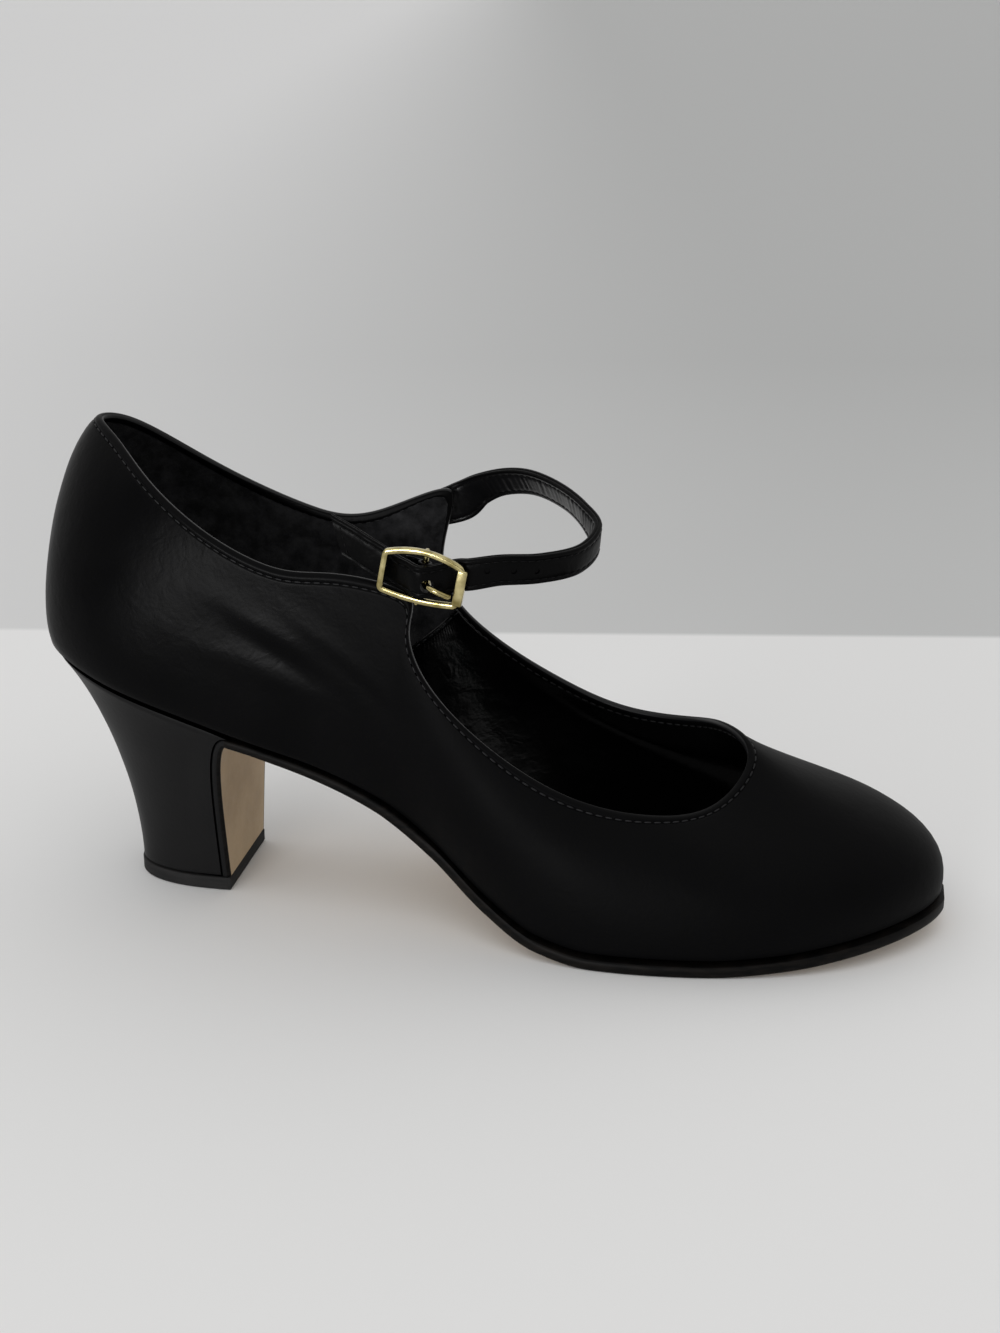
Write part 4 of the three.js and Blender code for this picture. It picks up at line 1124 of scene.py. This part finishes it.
def tube(name, points, radii, material, sides=18):
    """A round bar along points in the buckle's frame, with domed ends."""
    points = np.array(points, float)
    radii = np.array(radii, float)
    ahead = unit(np.gradient(points, axis=0))
    guide = np.array([0, 0, 1.0]) if abs(ahead[0, 2]) < 0.8 else np.array([1.0, 0, 0])
    side = unit(np.cross(ahead, guide))
    up = np.cross(side, ahead)
    dome = np.array([(0.98, 0.15), (0.85, 0.5), (0.5, 0.85), (0.2, 0.97)])
    start = [(points[0] - ahead[0] * radii[0] * d, radii[0] * r, 0) for d, r in dome]
    finish = [(points[-1] + ahead[-1] * radii[-1] * d, radii[-1] * r, -1) for d, r in dome[::-1]]
    rings = start + [(p, r, i) for i, (p, r) in enumerate(zip(points, radii))] + finish
    turn = np.arange(sides) * 2 * math.pi / sides
    loops = [c + r * (np.cos(turn)[:, None] * side[i] + np.sin(turn)[:, None] * up[i]) for c, r, i in rings]
    return skin(name, in_shoe(np.array(loops)), [material])


def lathe(name, profile, centre, material, sides=28):
    """A ring round the centre bar from a closed (radius, up) profile."""
    turn = np.arange(sides) * 2 * math.pi / sides
    loops = [stack(r * np.cos(turn), y, r * np.sin(turn)) + centre for r, y in profile]
    loops = np.array(loops).transpose(1, 0, 2)
    return skin(name, in_shoe(loops), [material], True)


def ring_profile(inner, outer, low, high, soften):
    """Closed profile of a ring with softened edges."""
    middle = np.array([(inner + outer) / 2, (low + high) / 2])
    loop = rounded(outer - inner, high - low, soften, 20)
    return loop + middle


def buckle_piece():
    rails = rail_piece()
    end = block("end_bar", (END_BAR["width"], END_BAR["height"], END_BAR["depth"]),
                (BUCKLE_LENGTH / 2 + END_BAR["past"] - END_BAR["width"] / 2, 0, 0), 0.42, BRASS)
    radius, out, half = (CENTRE_BAR[k] for k in ("radius", "out", "half"))
    bar = tube("bar", [(0, y, out) for y in np.linspace(-half, half, 12)], [radius] * 12, BRASS)
    posts = [tube("post", [(0, s * half, z) for z in np.linspace(out, -0.2, 6)], [radius] * 6, BRASS)
             for s in (1, -1)]
    piece = merge("brass_buckle", [rails, end, bar, *posts])
    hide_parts("buckle")


def prong_piece():
    centre = np.array([0, 0, CENTRE_BAR["out"]])
    profile = ring_profile(CENTRE_BAR["radius"] + GAP, EYE["radius"], EYE["up"] - EYE["height"] / 2,
                           EYE["up"] + EYE["height"] / 2, 3.5)
    eye = lathe("eye", profile, centre, BRASS)
    share = np.linspace(0, 1, 40)
    arm = tube("arm", spline(PRONG)(share), PRONG_RADIUS * (1 - 0.12 * share ** 3), BRASS)
    piece = merge("brass_prong", [eye, arm])
    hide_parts("prong")


def tab_piece():
    """The leather tab: two loops round the bar and a strip that is sewn inside the wall."""
    inner = CENTRE_BAR["radius"] + GAP
    thick = TAB["thickness"]
    half, eye_half = TAB["width"] / 2, EYE["height"] / 2 + GAP
    spans = [(EYE["up"] + eye_half, half), (-half, EYE["up"] - eye_half)]
    reach = 3.2
    strip_out = CENTRE_BAR["out"] - inner - thick / 2
    centre = np.array([0, 0, CENTRE_BAR["out"]])
    pieces = []
    for low, high in spans:
        pieces.append(lathe("loop", ring_profile(inner, inner + thick, low, high, 4), centre, STRAP_LEATHER))
        pieces.append(block("leaf", (reach, high - low - TAB["pared"], thick - TAB["pared"]),
                            (-reach / 2, (low + high) / 2, strip_out), 0.2, STRAP_LEATHER))
    start = [(*in_shoe((-reach + 0.6, 0, strip_out)), 0, TAB["width"]),
             (*in_shoe((-reach - 0.6, 0, strip_out - 0.3)), 0, TAB["width"])]
    inside = [(*off_wall(place, height, -(WALL + inset + thick / 2)), 0, TAB["width"])
              for place, height, inset in TAB_INSIDE]
    middle, ahead, across, inward, width = band_frames(start + inside, 60)
    section = rounded(1, thick, 4, 24)
    strip = skin("strip", sweep(middle, across * width[:, None], inward, section), [STRAP_LEATHER])
    piece = merge("buckle_tab_leather", [strip, *pieces])
    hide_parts("buckle_tab")


upper_piece()
topline_stitches()
lining_seam()
insole_piece()
heel_piece()
top_piece()
outsole_piece()
strap_piece()
buckle_piece()
prong_piece()
tab_piece()


# Floor, light and camera

def floor_material():
    """Pale flat floor; beyond a line behind the shoe it carries painted shade for a backdrop: darker, paler
    to the left and darker still further back.
    """
    material = new_material("pale_floor", (0.8, 0.8, 0.8), 0.6, Specular_IOR_Level=0.05)
    tree = material.node_tree
    place = axes(tree)
    # painted shade for the backdrop zone: lighter to the left, darker to the right and further back
    across = ramp(tree, place["X"], 0, 1, -0.5, 0.2, interpolation_type="SMOOTHSTEP")
    near = mix(tree, across, (0.75, 0.75, 0.755), (0.55, 0.555, 0.555))
    far = mix(tree, across, (0.73, 0.73, 0.735), (0.46, 0.465, 0.465))
    painted_backdrop_shade = mix(tree, ramp(tree, place["Y"], 0, 1, 0, 0.5), near, far)
    # the sharp line where the pale floor meets the painted backdrop shade; the floor itself is flat
    fold = ramp(tree, place["Y"], 0, 1, -0.002, 0.002)
    feed(tree, "Base Color", mix(tree, fold, (0.81, 0.81, 0.81), painted_backdrop_shade))
    return material


FLOOR_LINE = {"x": 0.0507, "y": 0.2042, "z": -0.00005, "turn": 9.15}


def build_floor():
    bpy.ops.mesh.primitive_circle_add(vertices=96, radius=9, fill_type="NGON")
    floor = bpy.context.object
    floor.name = "floor"
    floor.data.materials.append(floor_material())
    turn = math.radians(FLOOR_LINE["turn"])
    floor.rotation_euler = (0, 0, turn)
    floor.location = (FLOOR_LINE["x"], FLOOR_LINE["y"], FLOOR_LINE["z"])


SKY = {"colour": (1, 0.995, 0.985), "bright": (-0.1, 1, 0.9), "facing": (-0.45, 0.6), "strength": (0.3, 0.8)}
SUN = {"energy": 0.5, "turn": (38, -8, 0), "angle": 75}
FRONT = {"energy": 28, "place": (-0.62, -2.4, 0.3), "target": (0.05, 0, 0.06), "size": (0.9, 0.4)}


def add_light(name, kind, energy, place, turn, **settings):
    light = set_up(bpy.data.lights.new(name, kind), {"energy": energy, **settings})
    lamp = set_up(bpy.data.objects.new(name, light), {"location": place, "rotation_euler": turn})
    bpy.context.scene.collection.objects.link(lamp)


def build_light():
    world = bpy.data.worlds.new("studio")
    bpy.context.scene.world = world
    world.use_nodes = True
    tree = world.node_tree
    shade = tree.nodes["Background"]
    shade.inputs["Color"].default_value = (*SKY["colour"], 1)
    facing = add_node(tree, "VectorMath", operation="DOT_PRODUCT")
    tree.links.new(add_node(tree, "TexCoord").outputs["Generated"], facing.inputs[0])
    facing.inputs[1].default_value = SKY["bright"]
    tree.links.new(ramp(tree, facing.outputs["Value"], *SKY["strength"], *SKY["facing"]),
                   shade.inputs["Strength"])
    turn = tuple(math.radians(angle) for angle in SUN["turn"])
    add_light("overhead", "SUN", SUN["energy"], (0, 0, 0), turn, angle=math.radians(SUN["angle"]))
    place = Vector(FRONT["place"])
    turn = (Vector(FRONT["target"]) - place).to_track_quat("-Z", "Y").to_euler()
    add_light("front", "AREA", FRONT["energy"], place, turn, shape="RECTANGLE", size=FRONT["size"][0],
              size_y=FRONT["size"][1])
    bpy.context.scene.view_settings.view_transform = "Standard"
    bpy.context.scene.view_settings.look = "None"


CAMERA = {"pitch": 20.33, "yaw": 10.05, "roll": 0.16, "target": (116.67, 1.33, 63.11), "distance": 524.71,
          "lens": 54.0, "sensor": 36}


def build_camera():
    pitch, yaw, roll = (math.radians(CAMERA[k]) for k in ("pitch", "yaw", "roll"))
    right = np.array([math.cos(yaw), math.sin(yaw), 0])
    away = np.array([-math.sin(yaw), math.cos(yaw), 0])
    ahead = away * math.cos(pitch) - UP * math.sin(pitch)
    up = away * math.sin(pitch) + UP * math.cos(pitch)
    rolled_right = right * math.cos(roll) + up * math.sin(roll)
    rolled_up = -right * math.sin(roll) + up * math.cos(roll)
    place = in_row(np.array(CAMERA["target"]) - ahead * CAMERA["distance"])
    camera = bpy.data.objects.new("camera", bpy.data.cameras.new("camera"))
    camera.data.lens = CAMERA["lens"]
    camera.data.sensor_width = CAMERA["sensor"]
    camera.data.clip_start, camera.data.clip_end = 0.01, 50
    axes = Matrix([rolled_right, rolled_up, -ahead]).transposed().to_4x4()
    camera.matrix_world = Matrix.Translation(place) @ axes
    bpy.context.scene.collection.objects.link(camera)
    bpy.context.scene.camera = camera


build_floor()
build_light()
build_camera()
